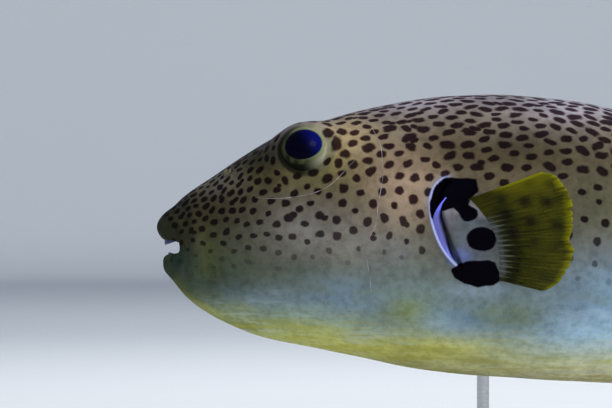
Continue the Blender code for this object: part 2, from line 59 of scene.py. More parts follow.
MOUTH_RINGS = (
    (30.0, 30.0, 30.0, 8.0, 5.0, -5.0, 2.2),  # throat
    (18.0, 22.0, 18.0, 13.0, 8.5, -9.0, 2.4),  # inside the mouth
    (9.5, 19.6, 10.5, 14.0, 6.8, -7.6, 2.8),  # behind the lips
    (5.6, 17.3, 7.3, 13.6, 4.7, -4.9, 3.2),  # the lips' free edge
    (2.4, 16.0, 4.8, 14.8, 6.9, -6.4, 3.0),
    (0.0, 15.5, 3.9, 16.6, 12.8, -10.0, 2.6),  # the front of the lips
    (2.3, 16.4, 4.7, 18.8, 18.9, -14.8, 2.4),
    (5.6, 18.2, 7.2, 20.6, 22.6, -18.3, 2.3),
    (10.5, 20.6, 11.2, 22.0, 26.3, -22.8, 2.3),  # the fold behind the lips
    (16.0, 23.5, 17.0, 25.8, 31.5, -30.0, 2.3),
)
LIP_FIRST, LIP_EDGE, LIP_LAST = 2, 3, 8  # rings
MOUTH_BOW = 2.2  # how sharply the lips and the face bend back near the mouth's corners

BACK_LINE = (
    (32, 43), (46, 52.5), (62, 62.8), (72, 68.3), (80, 73.2), (88, 76.8), (100, 79.4), (125, 86.4),
    (150, 92.4), (178, 97.2), (207, 98.9), (235, 98.3), (265, 95.4), (300, 88.6), (340, 77), (380, 62),
    (420, 47.5), (450, 40.5), (475, 38), (500, 39.5),
)  # fmt: skip
BELLY_LINE = (
    (32, -42), (46, -49.6), (62, -56), (80, -60.7), (100, -64.6), (125, -69.8), (150, -75), (178, -80),
    (210, -83.4), (240, -85.2), (270, -86.8), (300, -88), (325, -84.5), (350, -76), (375, -62.5), (400, -46),
    (425, -31), (450, -20.5), (475, -15), (500, -15.5),
)  # fmt: skip
HALF_WIDTH = (
    (32, 29.5), (46, 37.5), (62, 45.5), (80, 51.5), (100, 57.5), (125, 64.5), (150, 70), (178, 74),
    (210, 76.5), (240, 77), (270, 75.5), (300, 71.5), (330, 64.5), (360, 54), (390, 41), (420, 29),
    (450, 20), (475, 15), (500, 10.5),
)  # fmt: skip
WIDEST_HEIGHT = ((32, 0), (80, 2), (178, 2), (240, 1), (300, 1), (350, 4), (400, 9), (450, 12), (500, 12))
SQUARENESS_ABOVE = ((32, 2.4), (62, 2.9), (95, 4.0), (130, 3.0), (180, 2.4), (350, 2.1), (420, 2), (500, 2))
SQUARENESS_BELOW = ((32, 2.3), (95, 2.3), (180, 2.25), (300, 2.3), (400, 2.1), (500, 2))
SECTIONS = (
    32, 46, 62, 80, 90, 100, 125, 150, 178, 210, 240, 270, 300, 325, 350, 375, 400, 425, 450, 475, 500,
)  # fmt: skip
TAIL_TIP_RING = (505.0, 505.0, 505.0, 5.0, 34.0, -10.0, 2.0)

EYE_PLACE = (95.2, 64.6)
EYE_RADIUS = 17.0
EYE_DEPTH = 13.0
BROW_HEIGHT, BROW_REACH = 6.5, 22.0
BROW_AHEAD, BROW_ABOVE = 5.0, 4.0
BROW_TILT = math.radians(45)
EYE_STAND = 5.0
LOOK_UP, LOOK_AHEAD = math.radians(19), math.radians(6)

GILL_CENTRE = (208.5, 19.5)
GILL_WIDTH = 7.0
GILL_SPREAD, GILL_TILT = math.radians(58), math.radians(-7)
LOBE_CENTRE, LOBE_REACH, LOBE_HEIGHT = (203.0, 7.0), (19.0, 29.0), 4.0

NOSTRIL_PLACE = (46.0, 47.0)
NOSTRIL_HEIGHT, NOSTRIL_SPLAY = 4.5, math.radians(24)

DORSAL_ROOT = (352.0, 398.0)
ANAL_ROOT = (368.0, 408.0)
TAIL_FIN_ROOT = (36.0, -12.0)
ROOT_SUNK = 6.0

# The camera's place and view.
CAMERA_DISTANCE = 1.6  # metres
VIEW_WIDTH = 0.398  # metres across the picture at the fish's middle plane
VIEW_CENTRE = (96.9, 28.0)  # x, z
SENSOR_WIDTH = 36.0

SIDES = ((-1, "left"), (1, "right"))
random = np.random.default_rng(7)


ROW_PLACE = np.array((-TOTAL_LENGTH / 2, 0.0, MOUTH_HEIGHT))


def row_frame(points):
    """Points of the fish's own frame, in millimetres, as metres in the model's frame."""
    return (np.asarray(points, float) + ROW_PLACE) * MM


def srgb(red, green, blue):
    """A colour given in 0 to 255, as linear values."""
    values = np.array((red, green, blue), float) / 255
    return tuple(np.where(values <= 0.04045, values / 12.92, ((values + 0.055) / 1.055) ** 2.4))


def fade(value, start, end):
    """0 before start, 1 after end, and a smooth step between; end may be below start."""
    share = np.clip((np.asarray(value, float) - start) / (end - start), 0, 1)
    return share * share * (3 - 2 * share)


def smooth_curve(points):
    """A function that follows a natural cubic spline through (position, value, value...) rows."""
    rows = np.array(points, float)
    at, values = rows[:, 0], rows[:, 1:]
    span = np.diff(at)
    system = np.eye(len(at))
    bend = np.zeros_like(values)
    for i in range(1, len(at) - 1):
        system[i, i - 1 : i + 2] = span[i - 1], 2 * (span[i - 1] + span[i]), span[i]
        rise = np.diff(values[i - 1 : i + 2], axis=0) / span[i - 1 : i + 1, None]
        bend[i] = 6 * (rise[1] - rise[0])
    bend = np.linalg.solve(system, bend)

    def curve(position):
        position = np.clip(np.asarray(position, float), at[0], at[-1])
        i = np.clip(np.searchsorted(at, position) - 1, 0, len(span) - 1)
        width = span[i][..., None]
        before = (at[i + 1] - position)[..., None]
        after = (position - at[i])[..., None]
        found = (bend[i] * before**3 + bend[i + 1] * after**3) / (6 * width)
        found += (values[i] / width - bend[i] * width / 6) * before
        found += (values[i + 1] / width - bend[i + 1] * width / 6) * after
        return found[..., 0] if values.shape[1] == 1 else found

    return curve


back_line = smooth_curve(BACK_LINE)
belly_line = smooth_curve(BELLY_LINE)
half_width = smooth_curve(HALF_WIDTH)
widest_height = smooth_curve(WIDEST_HEIGHT)
squareness_above = smooth_curve(SQUARENESS_ABOVE)
squareness_below = smooth_curve(SQUARENESS_BELOW)


# ---------------------------------------------------------------- the body's form


def mouth_ring(x_top, x_corner, x_bottom, width, top, bottom, squareness, height=0.0):
    """One ring's values: the three x, half width, top, bottom, height of its sides, two squarenesses."""
    return (x_top, x_corner, x_bottom, width, top, bottom, height, squareness, squareness)


def section_ring(x):
    """The upright section of the body at x, with the same values as a mouth ring."""
    return (
        x, x, x, half_width(x), back_line(x), belly_line(x), widest_height(x),
        squareness_above(x), squareness_below(x),
    )  # fmt: skip


def key_rings():
    """All the rings that shape the body, throat first, each with its place along the skin in front."""
    rings = [mouth_ring(*values) for values in MOUTH_RINGS]
    rings += [section_ring(x) for x in SECTIONS]
    rings.append(mouth_ring(*TAIL_TIP_RING, height=widest_height(STANDARD_LENGTH)))
    rings = np.array(rings, float)
    outline = np.stack([rings[:, [0, 4]], rings[:, [1, 3]], rings[:, [2, 5]]], 1)
    steps = np.linalg.norm(np.diff(outline, axis=0), axis=2).mean(1)
    return np.column_stack([np.concatenate([[0], np.cumsum(steps)]), rings])


KEY_RINGS = key_rings()
ring_values = smooth_curve(KEY_RINGS)


def ring_place(index):
    """The place along the skin of one of the key rings."""
    return float(KEY_RINGS[index, 0])


def place_of(x):
    """How far along the skin the upright section at x lies."""
    places = np.linspace(KEY_RINGS[len(MOUTH_RINGS), 0], KEY_RINGS[-1, 0], 2000)
    return float(np.interp(x, ring_values(places)[:, 1], places))


def ring_points(values, angle):
    """Points of a superellipse ring. The lips and the face bow forward between the mouth's corners."""
    x_top, x_corner, x_bottom, width, top, bottom, height, above, below = np.moveaxis(values, -1, 0)
    upper = np.sin(angle) >= 0
    power = np.where(upper, above, below)
    reach = (np.abs(np.cos(angle)) ** power + np.abs(np.sin(angle)) ** power) ** (-1 / power)
    y = width * reach * np.cos(angle)
    z = height + np.where(upper, top - height, height - bottom) * reach * np.sin(angle)
    x_middle = np.where(upper, x_top, x_bottom)
    x = x_middle + (x_corner - x_middle) * np.abs(reach * np.cos(angle)) ** MOUTH_BOW
    return np.stack([x, y, z], -1)


def side_of_body(x, z):
    """Distance of the skin from the middle plane at x and z, before any swelling."""
    values = np.array(section_ring(x), float)
    width, top, bottom, height, above, below = values[3:]
    if z > height:
        share, power = (z - height) / (top - height), above
    else:
        share, power = (height - z) / (height - bottom), below
    return width * (1 - min(share, 1) ** power) ** (1 / power)


def eye_axes(side):
    """Centre of the eye on this side (-1 is left), where it looks, and the ways up and back across it."""
    x, z = EYE_PLACE
    look = Vector((
        -math.sin(LOOK_AHEAD) * math.cos(LOOK_UP),
        side * math.cos(LOOK_AHEAD) * math.cos(LOOK_UP),
        math.sin(LOOK_UP),
    ))  # fmt: skip
    centre = Vector((x, side * (side_of_body(x, z) + EYE_STAND), z)) - look * EYE_DEPTH
    centre, look = np.array(centre), np.array(look)
    up = np.array((0.0, 0.0, 1.0)) - look * look[2]
    up /= np.linalg.norm(up)
    return centre, look, up, np.cross(look, up) * side


def off_centre(points, centre, reach):
    """Squared distance in side view from a centre (x, z), where the reach along x and along z counts as 1."""
    return ((points[..., 0] - centre[0]) / reach[0]) ** 2 + ((points[..., 2] - centre[1]) / reach[1]) ** 2


def lobe_rise(points):
    """How far the lobe that carries the pectoral fin stands out."""
    return LOBE_HEIGHT * np.exp(-(off_centre(points, LOBE_CENTRE, LOBE_REACH) ** 2))


def swell(points):
    """Adds the brows that carry the eyes and the lobes that carry the pectoral fins."""
    lobe = np.sign(points[..., 1]) * lobe_rise(points)
    for side, _ in SIDES:
        centre = eye_axes(side)[0]
        away = np.linalg.norm(points - (centre + (-BROW_AHEAD, 0, BROW_ABOVE)), axis=-1)
        push = np.array((0.0, side * math.cos(BROW_TILT), math.sin(BROW_TILT)))
        points = points + push * (BROW_HEIGHT * np.exp(-((away / BROW_REACH) ** 4)))[..., None]
    return points + np.stack([0 * lobe, lobe, 0 * lobe], -1)


# ---------------------------------------------------------------- the fine skin

# How far apart the rows of the skin lie, by their place along it.
ROW_STEPS = (
    (0.0, 2.4), (ring_place(LIP_FIRST), 1.0), (ring_place(LIP_EDGE), 0.85), (ring_place(LIP_LAST + 1), 0.95),
    (place_of(60), 1.15), (place_of(120), 1.2), (place_of(168), 1.05), (place_of(222), 1.05),
    (place_of(240), 1.35), (place_of(300), 1.6), (place_of(350), 2.4), (place_of(500), 3.0),
)  # fmt: skip
COLUMNS = 243
BELLY_SPARENESS = 0.3  # columns on the plain belly, as a share of those on the spotted sides
UNEVENNESS, UNEVEN_SCALE = 0.35, 42  # how far the skin stands in and out, and over what length
LIP_CREASE, LIP_DENT = 0.07, 0.08


def skin_places():
    """Places of the skin's rows, close together where it is finely marked."""
    at, steps = np.array(ROW_STEPS).T
    fine = np.linspace(0, KEY_RINGS[-1, 0], 6000)
    count = np.concatenate([[0], np.cumsum(np.diff(fine) / np.interp(fine[1:], at, steps))])
    return np.interp(np.linspace(0, count[-1], int(count[-1]) + 1), count, fine)


def skin_angles():
    """Angles of the skin's columns, from the belly's middle round the right side, the back and the left."""
    fine = np.linspace(-np.pi / 2, 3 * np.pi / 2, 4001)
    density = BELLY_SPARENESS + (1 - BELLY_SPARENESS) * fade(np.sin(fine), -0.75, -0.35)
    count = np.concatenate([[0], np.cumsum((density[1:] + density[:-1]) / 2)])
    return np.interp(np.arange(COLUMNS) / COLUMNS * count[-1], count, fine)


def outward_normals(points):
    """Unit normals of a closed grid of rings, away from the body's middle."""
    along = np.gradient(points, axis=0)
    around = np.roll(points, -1, axis=1) - np.roll(points, 1, axis=1)
    normals = np.cross(around, along)
    length = np.linalg.norm(normals, axis=2, keepdims=True)
    return normals / np.where(length > 1e-9, length, 1)


# How the skin lies round an eye. It is laid in rings, by their angle at a point behind the eyeball.
EYE_ROOT = 22.0  # how far that point lies behind the eyeball's centre
LID_OPENING, LID_DROOP = math.radians(57), math.radians(5)  # at the eyeball's centre; less of it above
LID_THICKNESS, LID_EDGE = 0.7, 0.12  # over the eyeball: the lid, and its free edge
LID_EASE = 0.8
LID_REACH, LID_MARGIN = math.radians(34), math.radians(1.6)  # of the rings, and of the gap round them
LID_FOLDS = ((0.18, 0.3, 0.13), (-0.22, 0.62, 0.14))  # height, share of the way out, half width
EYE_SURROUNDS = 3.5 * EYE_RADIUS  # skin further off belongs to the other side
LID_LIGHT = math.radians(22)  # how far above straight back of the eye the lid's painted light is brightest
OFF_LIDS, HIDDEN_SHARE = 9.0, -0.1  # shares of the way out, off the rings and on the hidden ones
LID_SECTORS = 132
LID_TURNS = np.arange(LID_SECTORS) * 2 * np.pi / LID_SECTORS
HIDDEN_RINGS = ((-7.0, -3.2), (-3.4, -2.8), (-1.3, -1.8), (-0.4, -0.35))  # degrees inside the opening, level
OPEN_RINGS = (
    0.0, 0.02, 0.045, 0.075, 0.11, 0.15, 0.19, 0.235, 0.28, 0.33, 0.38, 0.43, 0.485, 0.54, 0.6, 0.66, 0.72,
    0.78, 0.84, 0.9, 0.95, 1.0,
)  # fmt: skip


def cover_eyes(points):
    """Raises the skin wherever an eyeball would stand through it."""
    level = EYE_RADIUS + LID_THICKNESS
    for side, _ in SIDES:
        centre = eye_axes(side)[0]
        offset = points - centre
        distance = np.linalg.norm(offset, axis=-1)
        raised = level + LID_EASE * np.logaddexp(0, (distance - level) / LID_EASE)
        points = centre + offset * (raised / np.maximum(distance, 1e-6))[..., None]
    return points


def hole_border(lost_faces):
    """The border of a hole, vertex after vertex, in the direction its lost faces had."""
    edges = {(a, b) for face in lost_faces for a, b in zip(face, face[1:] + face[:1])}
    following = {a: b for a, b in edges if (b, a) not in edges}
    border = [min(following)]
    while following[border[-1]] != border[0]:
        border.append(following[border[-1]])
    return border


def lid_rings(side, way, vertices, faces, tree, grid_at):
    """The rings of skin round an eye: their points, and the grid places of the closed skin over them."""
    centre, look, up, back = eye_axes(side)
    origin = centre - look * EYE_ROOT
    count = len(HIDDEN_RINGS) + len(OPEN_RINGS)
    points, places = np.zeros((count, LID_SECTORS, 3)), np.zeros((count, LID_SECTORS, 2))
    for j, spin in enumerate(way * LID_TURNS):
        across = math.cos(spin) * back + math.sin(spin) * up
        opening = LID_OPENING - LID_DROOP * math.sin(spin)
        first = math.atan2(EYE_RADIUS * math.sin(opening), EYE_RADIUS * math.cos(opening) + EYE_ROOT)
        rings = [(first + math.radians(inside), level, 0.0, 0.0) for inside, level in HIDDEN_RINGS]
        for share in OPEN_RINGS:
            level = LID_EDGE + (LID_THICKNESS - LID_EDGE) * float(fade(share, -0.02, 0.25))
            fold = sum(height * math.exp(-(((share - at) / half) ** 2)) for height, at, half in LID_FOLDS)
            rings.append((first + share * (LID_REACH - first), level, float(fade(share, 0.03, 0.75)), fold))
        for i, (angle, level, share, fold) in enumerate(rings):
            heading = look * math.cos(angle) + across * math.sin(angle)
            middle = EYE_ROOT * math.cos(angle)
            lid = middle + math.sqrt(middle**2 - EYE_ROOT**2 + (EYE_RADIUS + level) ** 2)
            hit, _, index, distance = tree.ray_cast(Vector(origin), Vector(heading))
            corners = list(faces[index])
            weights = poly_3d_calc([Vector(vertices[v]) for v in corners], hit)
            places[i, j] = np.array(weights) @ grid_at[corners]
            points[i, j] = origin + heading * (lid + (distance - lid) * share + fold)
    return points, places


def zip_rings(border, border_turns, ring, ring_turns):
    """Triangles between a hole's border and the ring inside it, both in the same direction round."""
    start = int(np.argmin(np.abs(np.angle(np.exp(1j * (border_turns - ring_turns[0]))))))
    border = border[start:] + border[:start] + [border[start]]
    turns = np.unwrap(np.append(np.roll(border_turns, -start), border_turns[start]))
    turns += np.round((ring_turns[0] - turns[0]) / (2 * np.pi)) * 2 * np.pi
    ring = ring + [ring[0]]
    ring_turns = np.append(ring_turns, ring_turns[0] + 2 * np.pi * np.sign(ring_turns[1] - ring_turns[0]))
    way = np.sign(ring_turns[1] - ring_turns[0])
    faces, i, j = [], 0, 0
    while i < len(border) - 1 or j < len(ring) - 1:
        border_is_next = j == len(ring) - 1 or (
            i < len(border) - 1 and way * turns[i + 1] <= way * ring_turns[j + 1]
        )
        if border_is_next:
            faces.append((border[i], border[i + 1], ring[j]))
            i += 1
        else:
            faces.append((border[i], ring[j + 1], ring[j]))
            j += 1
    return faces


def open_eyes(closed, closed_faces, closed_at):
    """Opens the skin over each eye. Returns vertices, faces, grid places, and places on the lids' rings."""
    tree = BVHTree.FromPolygons([Vector(v) for v in closed], closed_faces)
    vertices, faces, grid_at = closed, closed_faces, closed_at
    lids = np.full((len(closed), 2), (OFF_LIDS, 0.0))
    shares = np.concatenate([[HIDDEN_SHARE] * len(HIDDEN_RINGS), OPEN_RINGS])
    for side, _ in SIDES:
        centre, look, up, back = eye_axes(side)
        offset = closed - (centre - look * EYE_ROOT)
        distance = np.linalg.norm(offset, axis=1)
        angle = np.arccos(np.clip(offset @ look / np.maximum(distance, 1e-6), -1, 1))
        within = (angle < LID_REACH + LID_MARGIN) & (distance < EYE_SURROUNDS)
        lost = {face for face in closed_faces if any(within[v] for v in face)}
        border = hole_border(lost)
        offset = closed[border] - centre
        border_turns = np.unwrap(np.arctan2(offset @ up, offset @ back))
        way = float(np.sign(border_turns[-1] - border_turns[0]))
        points, places = lid_rings(side, way, closed, closed_faces, tree, closed_at)
        index = len(vertices) + np.arange(points[..., 0].size).reshape(points.shape[:2])
        middle = int(index[-1, -1]) + 1
        vertices = np.concatenate([vertices, points.reshape(-1, 3), [points[0].mean(0)]])
        grid_at = np.concatenate([grid_at, places.reshape(-1, 2), [places[0].mean(0)]])
        faces = [face for face in faces if face not in lost]
        faces += zip_rings(border, border_turns, index[-1].tolist(), way * LID_TURNS)
        beside = np.roll(index, -1, axis=1)
        quads = np.stack([index[1:], beside[1:], beside[:-1], index[:-1]], -1)
        faces += [tuple(q) for q in quads.reshape(-1, 4).tolist()]
        faces += [(a, b, middle) for a, b in zip(index[0].tolist(), beside[0].tolist())]
        facing = np.cos(way * LID_TURNS - LID_LIGHT)
        ring = np.stack(np.broadcast_arrays(shares[:, None], facing[None, :]), -1).reshape(-1, 2)
        lids = np.concatenate([lids, ring, [(HIDDEN_SHARE, 0.0)]])
    return vertices, faces, grid_at, lids


GILL_FLOOR, GILL_START = 6.5, 0.7  # depth of the opening, and how far inside the cover's edge it starts
GILL_RIM, GILL_RIM_WIDTH = 0.4, 1.8  # the cover's rolled rim
MARK_DENT = 1.8  # depth of the skin under the black mark at the opening's top
# The gill cover's edge from the arc's centre: degrees above straight ahead, and distance.
GILL_EDGE = (
    (-66, 36.2), (-60, 35.2), (-50, 34.1), (-37, 33.3), (-22, 32.8), (-8, 33.3), (0, 34.0), (8, 34.9),
    (17, 36.2), (25, 36.9), (34, 37.0), (42, 36.0), (48, 34.4), (54, 32.2), (60, 29.6),
)  # fmt: skip
gill_edge = smooth_curve(GILL_EDGE)


def gill_place(points):
    """Distance outside the cover's edge, direction from the arc's centre, and share of its half spread."""
    x, z = points[..., 0] - GILL_CENTRE[0], points[..., 2] - GILL_CENTRE[1]
    turn = np.arctan2(z, -x)
    outside = np.hypot(x, z) - gill_edge(np.degrees(turn))
    return outside, turn, (turn - GILL_TILT) / GILL_SPREAD


def open_gill(points, normals):
    """Sinks the crescent behind the gill cover and raises the cover's rim."""
    outside, _, share = gill_place(points)
    arch = np.sqrt(np.clip(1 - share**2, 0, 1))
    into = (-outside - GILL_START) / np.maximum((GILL_WIDTH - 0.5) * arch, 0.5)
    depth = GILL_FLOOR * fade(into, -0.08, 0.18) * fade(into, 1.2, 0.75) * fade(arch, 0.0, 0.55)
    depth = np.maximum(depth, MARK_DENT * fade(polygon_distance(points, GILL_MARK, 1.0), 1.5, -2.5))
    rim = GILL_RIM * np.exp(-((outside / GILL_RIM_WIDTH) ** 2)) * fade(arch, 0.1, 0.7)
    return points + normals * (rim - depth)[..., None]


def wobble(points, scale, seed):
    """Smooth waves that never repeat over the fish, about -1 to 1, scale millimetres across."""
    source = np.random.default_rng(seed)
    total = np.zeros(points.shape[:-1])
    for _ in range(7):
        direction = source.normal(size=3)
        direction /= np.linalg.norm(direction)
        wave = scale * source.uniform(0.7, 1.5)
        total += np.sin(points @ direction * (2 * np.pi / wave) + source.uniform(0, 6.3))
    return total / 3.2


def skin_points():
    """The grid of the skin, still closed over the eyes, and the place of each of its rows."""
    places, angles = skin_places(), skin_angles()
    points = swell(ring_points(ring_values(places)[:, None, :], angles[None, :]))
    on_body = fade(places, ring_place(LIP_LAST + 1), place_of(60))[:, None]
    normals = outward_normals(points)
    points = points + normals * (UNEVENNESS * wobble(points, UNEVEN_SCALE, 3) * on_body)[..., None]
    in_mouth = fade(places, ring_place(LIP_LAST), ring_place(LIP_LAST - 2))
    on_lips = (in_mouth * fade(places, ring_place(LIP_FIRST), ring_place(LIP_EDGE)))[:, None]
    creases = LIP_CREASE * np.sin(angles * 34 + 1.3 * np.sin(angles * 5)) + LIP_DENT * np.sin(angles * 13)
    points = points + normals * (on_lips * creases[None, :])[..., None]
    return cover_eyes(open_gill(points, normals)), places


# ---------------------------------------------------------------- meshes


def grid_faces(rows, columns, closed):
    """Quads of a grid, closed round its columns where closed is set."""
    i, j = np.meshgrid(np.arange(rows - 1), np.arange(columns if closed else columns - 1), indexing="ij")
    here, beside = i * columns + j, i * columns + (j + 1) % columns
    quads = np.stack([here, beside, beside + columns, here + columns], -1)
    return [tuple(q) for q in quads.reshape(-1, 4).tolist()]


def tube_faces(rows, columns, start=0):
    """Faces of a tube of rings with flat ends, whose vertices begin at start."""
    faces = grid_faces(rows, columns, closed=True) + [tuple(range(columns))]
    faces.append(tuple(range((rows - 1) * columns, rows * columns))[::-1])
    return [tuple(start + v for v in face) for face in faces]


def ball_faces(rows, columns):
    """Faces of a tube of rings whose ends close on two more vertices, the first ring's and the last one's."""
    faces = grid_faces(rows, columns, closed=True)
    count, last = rows * columns, (rows - 1) * columns
    faces += [(count, (j + 1) % columns, j) for j in range(columns)]
    return faces + [(count + 1, last + j, last + (j + 1) % columns) for j in range(columns)]


def slab_faces(rows, columns):
    """Faces of a sheet with a front, a back and an edge. The back's vertices follow the front's."""
    count = rows * columns
    front = grid_faces(rows, columns, closed=False)
    border = hole_border(front)
    faces = front + [tuple(count + v for v in face[::-1]) for face in front]
    return faces + [(b, a, count + a, count + b) for a, b in zip(border, border[1:] + border[:1])]


def add_object(name, data):
    """Puts a mesh, light or camera in the scene."""
    made = bpy.data.objects.new(name, data)
    bpy.context.scene.collection.objects.link(made)
    return made


def add_mesh(name, vertices, faces, material):
    """Adds a smooth mesh given in the model's frame, in metres."""
    mesh = bpy.data.meshes.new(name)
    mesh.from_pydata([tuple(v) for v in vertices], [], faces)
    mesh.shade_smooth()
    mesh.materials.append(material)
    return add_object(name, mesh)


def add_piece(name, vertices, faces, material, slot, *replaced):
    """Adds a closed piece given in the fish's own frame. It rides the model's one body."""
    made = add_mesh(name, row_frame(vertices), faces, material)
    work = bmesh.new()
    work.from_mesh(made.data)
    bmesh.ops.recalc_face_normals(work, faces=work.faces)
    if work.calc_volume(signed=True) < 0:
        bmesh.ops.reverse_faces(work, faces=work.faces)
    work.to_mesh(made.data)
    work.free()
    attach(made, "root")
    if replaced:
        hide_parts(*replaced)
    return made


def store(mesh, name, values, kind="FLOAT", domain="POINT"):
    """Stores a number, a colour or a vector for each vertex or corner of a mesh."""
    field = {"FLOAT": "value", "FLOAT_COLOR": "color", "FLOAT_VECTOR": "vector"}[kind]
    values = np.ravel(values).astype(np.float32)
    mesh.attributes.new(name, kind, domain).data.foreach_set(field, values)


def read(parts, name, *width, kind=float):
    """A property of all of a mesh's vertices, corners or faces: a number each, or width numbers."""
    values = np.zeros((len(parts), *width), kind).ravel()
    parts.foreach_get(name, values)
    return values.reshape(-1, *width)


def corner_vertices(mesh):
    """The vertex and the face of each corner of a mesh."""
    sizes = read(mesh.polygons, "loop_total", kind=np.int64)
    return read(mesh.loops, "vertex_index", kind=np.int64), np.repeat(np.arange(len(sizes)), sizes)


def vertex_areas(mesh):
    """The share of the surface that belongs to each vertex."""
    corners, face = corner_vertices(mesh)
    areas = np.zeros(len(mesh.vertices))
    np.add.at(areas, corners, (read(mesh.polygons, "area") / np.bincount(face))[face])
    return areas


def vertex_tree(points):
    """A tree that finds the nearest of these points."""
    tree = KDTree(len(points))
    for index, point in enumerate(points):
        tree.insert(point, index)
    tree.balance()
    return tree


# ---------------------------------------------------------------- markings

# Colours of the living fish, from the belly's middle up to the back's. The two topmost rows are lightened
# over the back's own tan as painted light from above, and the top one is tinted lilac.
BODY_TONES = (
    (-1.0, srgb(204, 208, 130)), (-0.86, srgb(194, 200, 130)), (-0.74, srgb(152, 170, 150)),
    (-0.55, srgb(116, 135, 140)), (-0.3, srgb(100, 112, 108)), (-0.08, srgb(96, 97, 88)),
    (0.3, srgb(98, 89, 72)), (0.6, srgb(112, 98, 78)), (0.85, srgb(124, 114, 104)),
    (1.0, srgb(130, 123, 128)),
)  # fmt: skip

# Washes of colour over those tones: name, colour, (x, z), (reach along x, reach along z), strength.
WASHES = (
    # painted shade: darkens the whole front of the head, over its own dark olive
    ("head darkened by painted shade", srgb(31, 33, 20), (0, 28), (85, 46), 0.92),
    ("chin", srgb(33, 44, 28), (8, -24), (37, 20), 0.87),
    ("jaw", srgb(58, 70, 40), (36, -14), (22, 20), 0.5),
    ("yellow-green cheek fold", srgb(88, 92, 32), (35, -6), (7, 18), 0.3),
    ("yellow jaw edge", srgb(96, 112, 68), (46, -52), (34, 11), 0.6),
    ("olive round the eye", srgb(92, 88, 46), (100, 44), (34, 14), 0.6),
    ("cheek", srgb(70, 74, 50), (76, -14), (40, 14), 0.42),
    ("grey cheek", srgb(136, 133, 131), (96, 14), (24, 18), 0.45),
    ("grey behind the cheek", srgb(146, 142, 136), (130, 4), (28, 16), 0.4),
    ("dark forehead", srgb(22, 28, 24), (64, 57), (20, 13), 0.78),
    ("dark skin before the eye", srgb(24, 28, 12), (79, 62), (7, 12), 0.55),
    ("pale top of the snout", srgb(124, 122, 110), (32, 43), (26, 8), 0.5),
    # painted light from above: a pale lilac band along the top of the nape
    ("painted light on the top of the nape", srgb(196, 190, 204), (170, 95), (26, 9), 0.4),
    ("tan nape", srgb(170, 151, 112), (124, 70), (22, 14), 0.74),
    ("pink shoulder", srgb(181, 156, 133), (158, 38), (22, 22), 0.6),
    ("bluish cheek", srgb(112, 138, 168), (120, -30), (20, 11), 0.35),
    ("bluish skin before the gill", srgb(132, 142, 150), (152, -3), (13, 9), 0.2),
    ("olive stain behind the jaw", srgb(128, 140, 60), (160, -40), (14, 9), 0.65),
    ("olive stain under the fin", srgb(102, 108, 48), (232, -43), (18, 9), 0.8),
    ("bluish belly under the gill", srgb(98, 134, 162), (194, -48), (24, 9), 0.66),
    ("bluish flank", srgb(118, 146, 172), (290, -36), (46, 31), 0.8),
    ("blue-white rear belly", srgb(136, 178, 212), (274, -56), (46, 11), 0.7),
    # painted shade: darkens the flank behind the pectoral fin, over its grey-green tone
    ("grey-green flank in painted shade", srgb(70, 74, 58), (280, 33), (40, 26), 0.7),
    ("dusky upper flank", srgb(46, 42, 26), (232, 62), (62, 17), 0.75),
    ("yellow under the throat", srgb(230, 224, 74), (170, -63), (50, 9), 0.6),
    # painted light from above: a pale lilac band along the top of the back
    ("painted light on the top of the back", srgb(198, 194, 214), (270, 92), (42, 12), 0.4),
    # partly the belly's own pale yellow, partly painted light from below on its underside
    ("pale belly brightened by painted light", srgb(252, 252, 202), (295, -90), (106, 23), 1.0),
    ("olive skin before the eye", srgb(66, 62, 14), (66, 48), (15, 12), 0.36),
    ("olive skin behind the eye", srgb(120, 112, 50), (114, 58), (10, 11), 0.42),
)


def body_tone(height):
    """Colour by height on the body: -1 at the belly's line, 0 at the widest, 1 at the back."""
    at = [row[0] for row in BODY_TONES]
    return np.stack([np.interp(height, at, [row[1][k] for row in BODY_TONES]) for k in range(3)], -1)


def spot_size(x, height):
    """Half length along the body, half length across, and the two spacings of the spots, by place."""
    face = fade(x, 125, 70)
    snout = fade(x, 85, 45) * fade(height, 0.0, 0.45)
    back = fade(height, 0.2, 0.75) * fade(x, 60, 125)
    nape = back * fade(x, 195, 130)
    rear = fade(x, 190, 260) * (1 - back)
    shoulder = fade(x, 120, 145) * fade(x, 215, 190) * (1 - back)
    along = 2.85 + 0.3 * face - 0.55 * snout + 2.2 * back - 1.0 * nape - 0.1 * rear - 0.35 * shoulder
    across = 2.75 - 0.4 * face - 0.35 * snout + 0.2 * back + 0.3 * shoulder
    gap_along = 11.2 - 1.8 * face - 2.8 * snout + 1.0 * back - 2.4 * nape + 2.8 * rear
    gap_across = 10.8 - 2.0 * face - 3.2 * snout - 3.4 * back + 3.0 * rear
    return along, across, gap_along, gap_across


def spots_from(x):
    """The height in millimetres above which the spots are full, by place along the body."""
    return np.interp(x, (0, 30, 90, 150, 200, 260, 340, 420, 500), (6, 2, 2, 4, -6, -4, -8, -6, -14))


SPOT_TRIES = 40000
SPOT_FREE_EYE = 20.0  # no spot's middle lies nearer to the eyeball's centre
EYE_RING = 9.0  # how far beyond that the spots lie in rings round the eye
FIN_PATCH = (199, 13)
CLOSEST, ENOUGH = 0.76, 1.15  # spacings: least between spots picked at random, and where evening out ends
EVENING_ROUNDS, NUDGE = 7, 0.4
MOST_ROOM = 1.14  # a spot grows with the room round it up to this
SPOT_TILT, SPOT_SIZES = 0.3, (0.8, 1.14)
DOUBLE_SHARE, DOUBLE_ROOM = 0.14, 0.9  # of the spots with this room, so many are two run together
DOUBLE_TURN, DOUBLE_SIZES = 0.7, (0.6, 0.85)
SPOT_SQUARENESS = 2.3
SPOT_REACH, NO_SPOT = 3.0, 4.0  # in a spot's radii: how far it is looked for, and what is stored beyond


def in_fin_patch(points):
    """True where the pectoral fin's pale lobe and its black marks leave no room for common spots."""
    before = off_centre(points, FIN_PATCH, (31, 38))
    return np.where(points[..., 0] < FIN_PATCH[0], before, off_centre(points, FIN_PATCH, (20, 38))) < 1


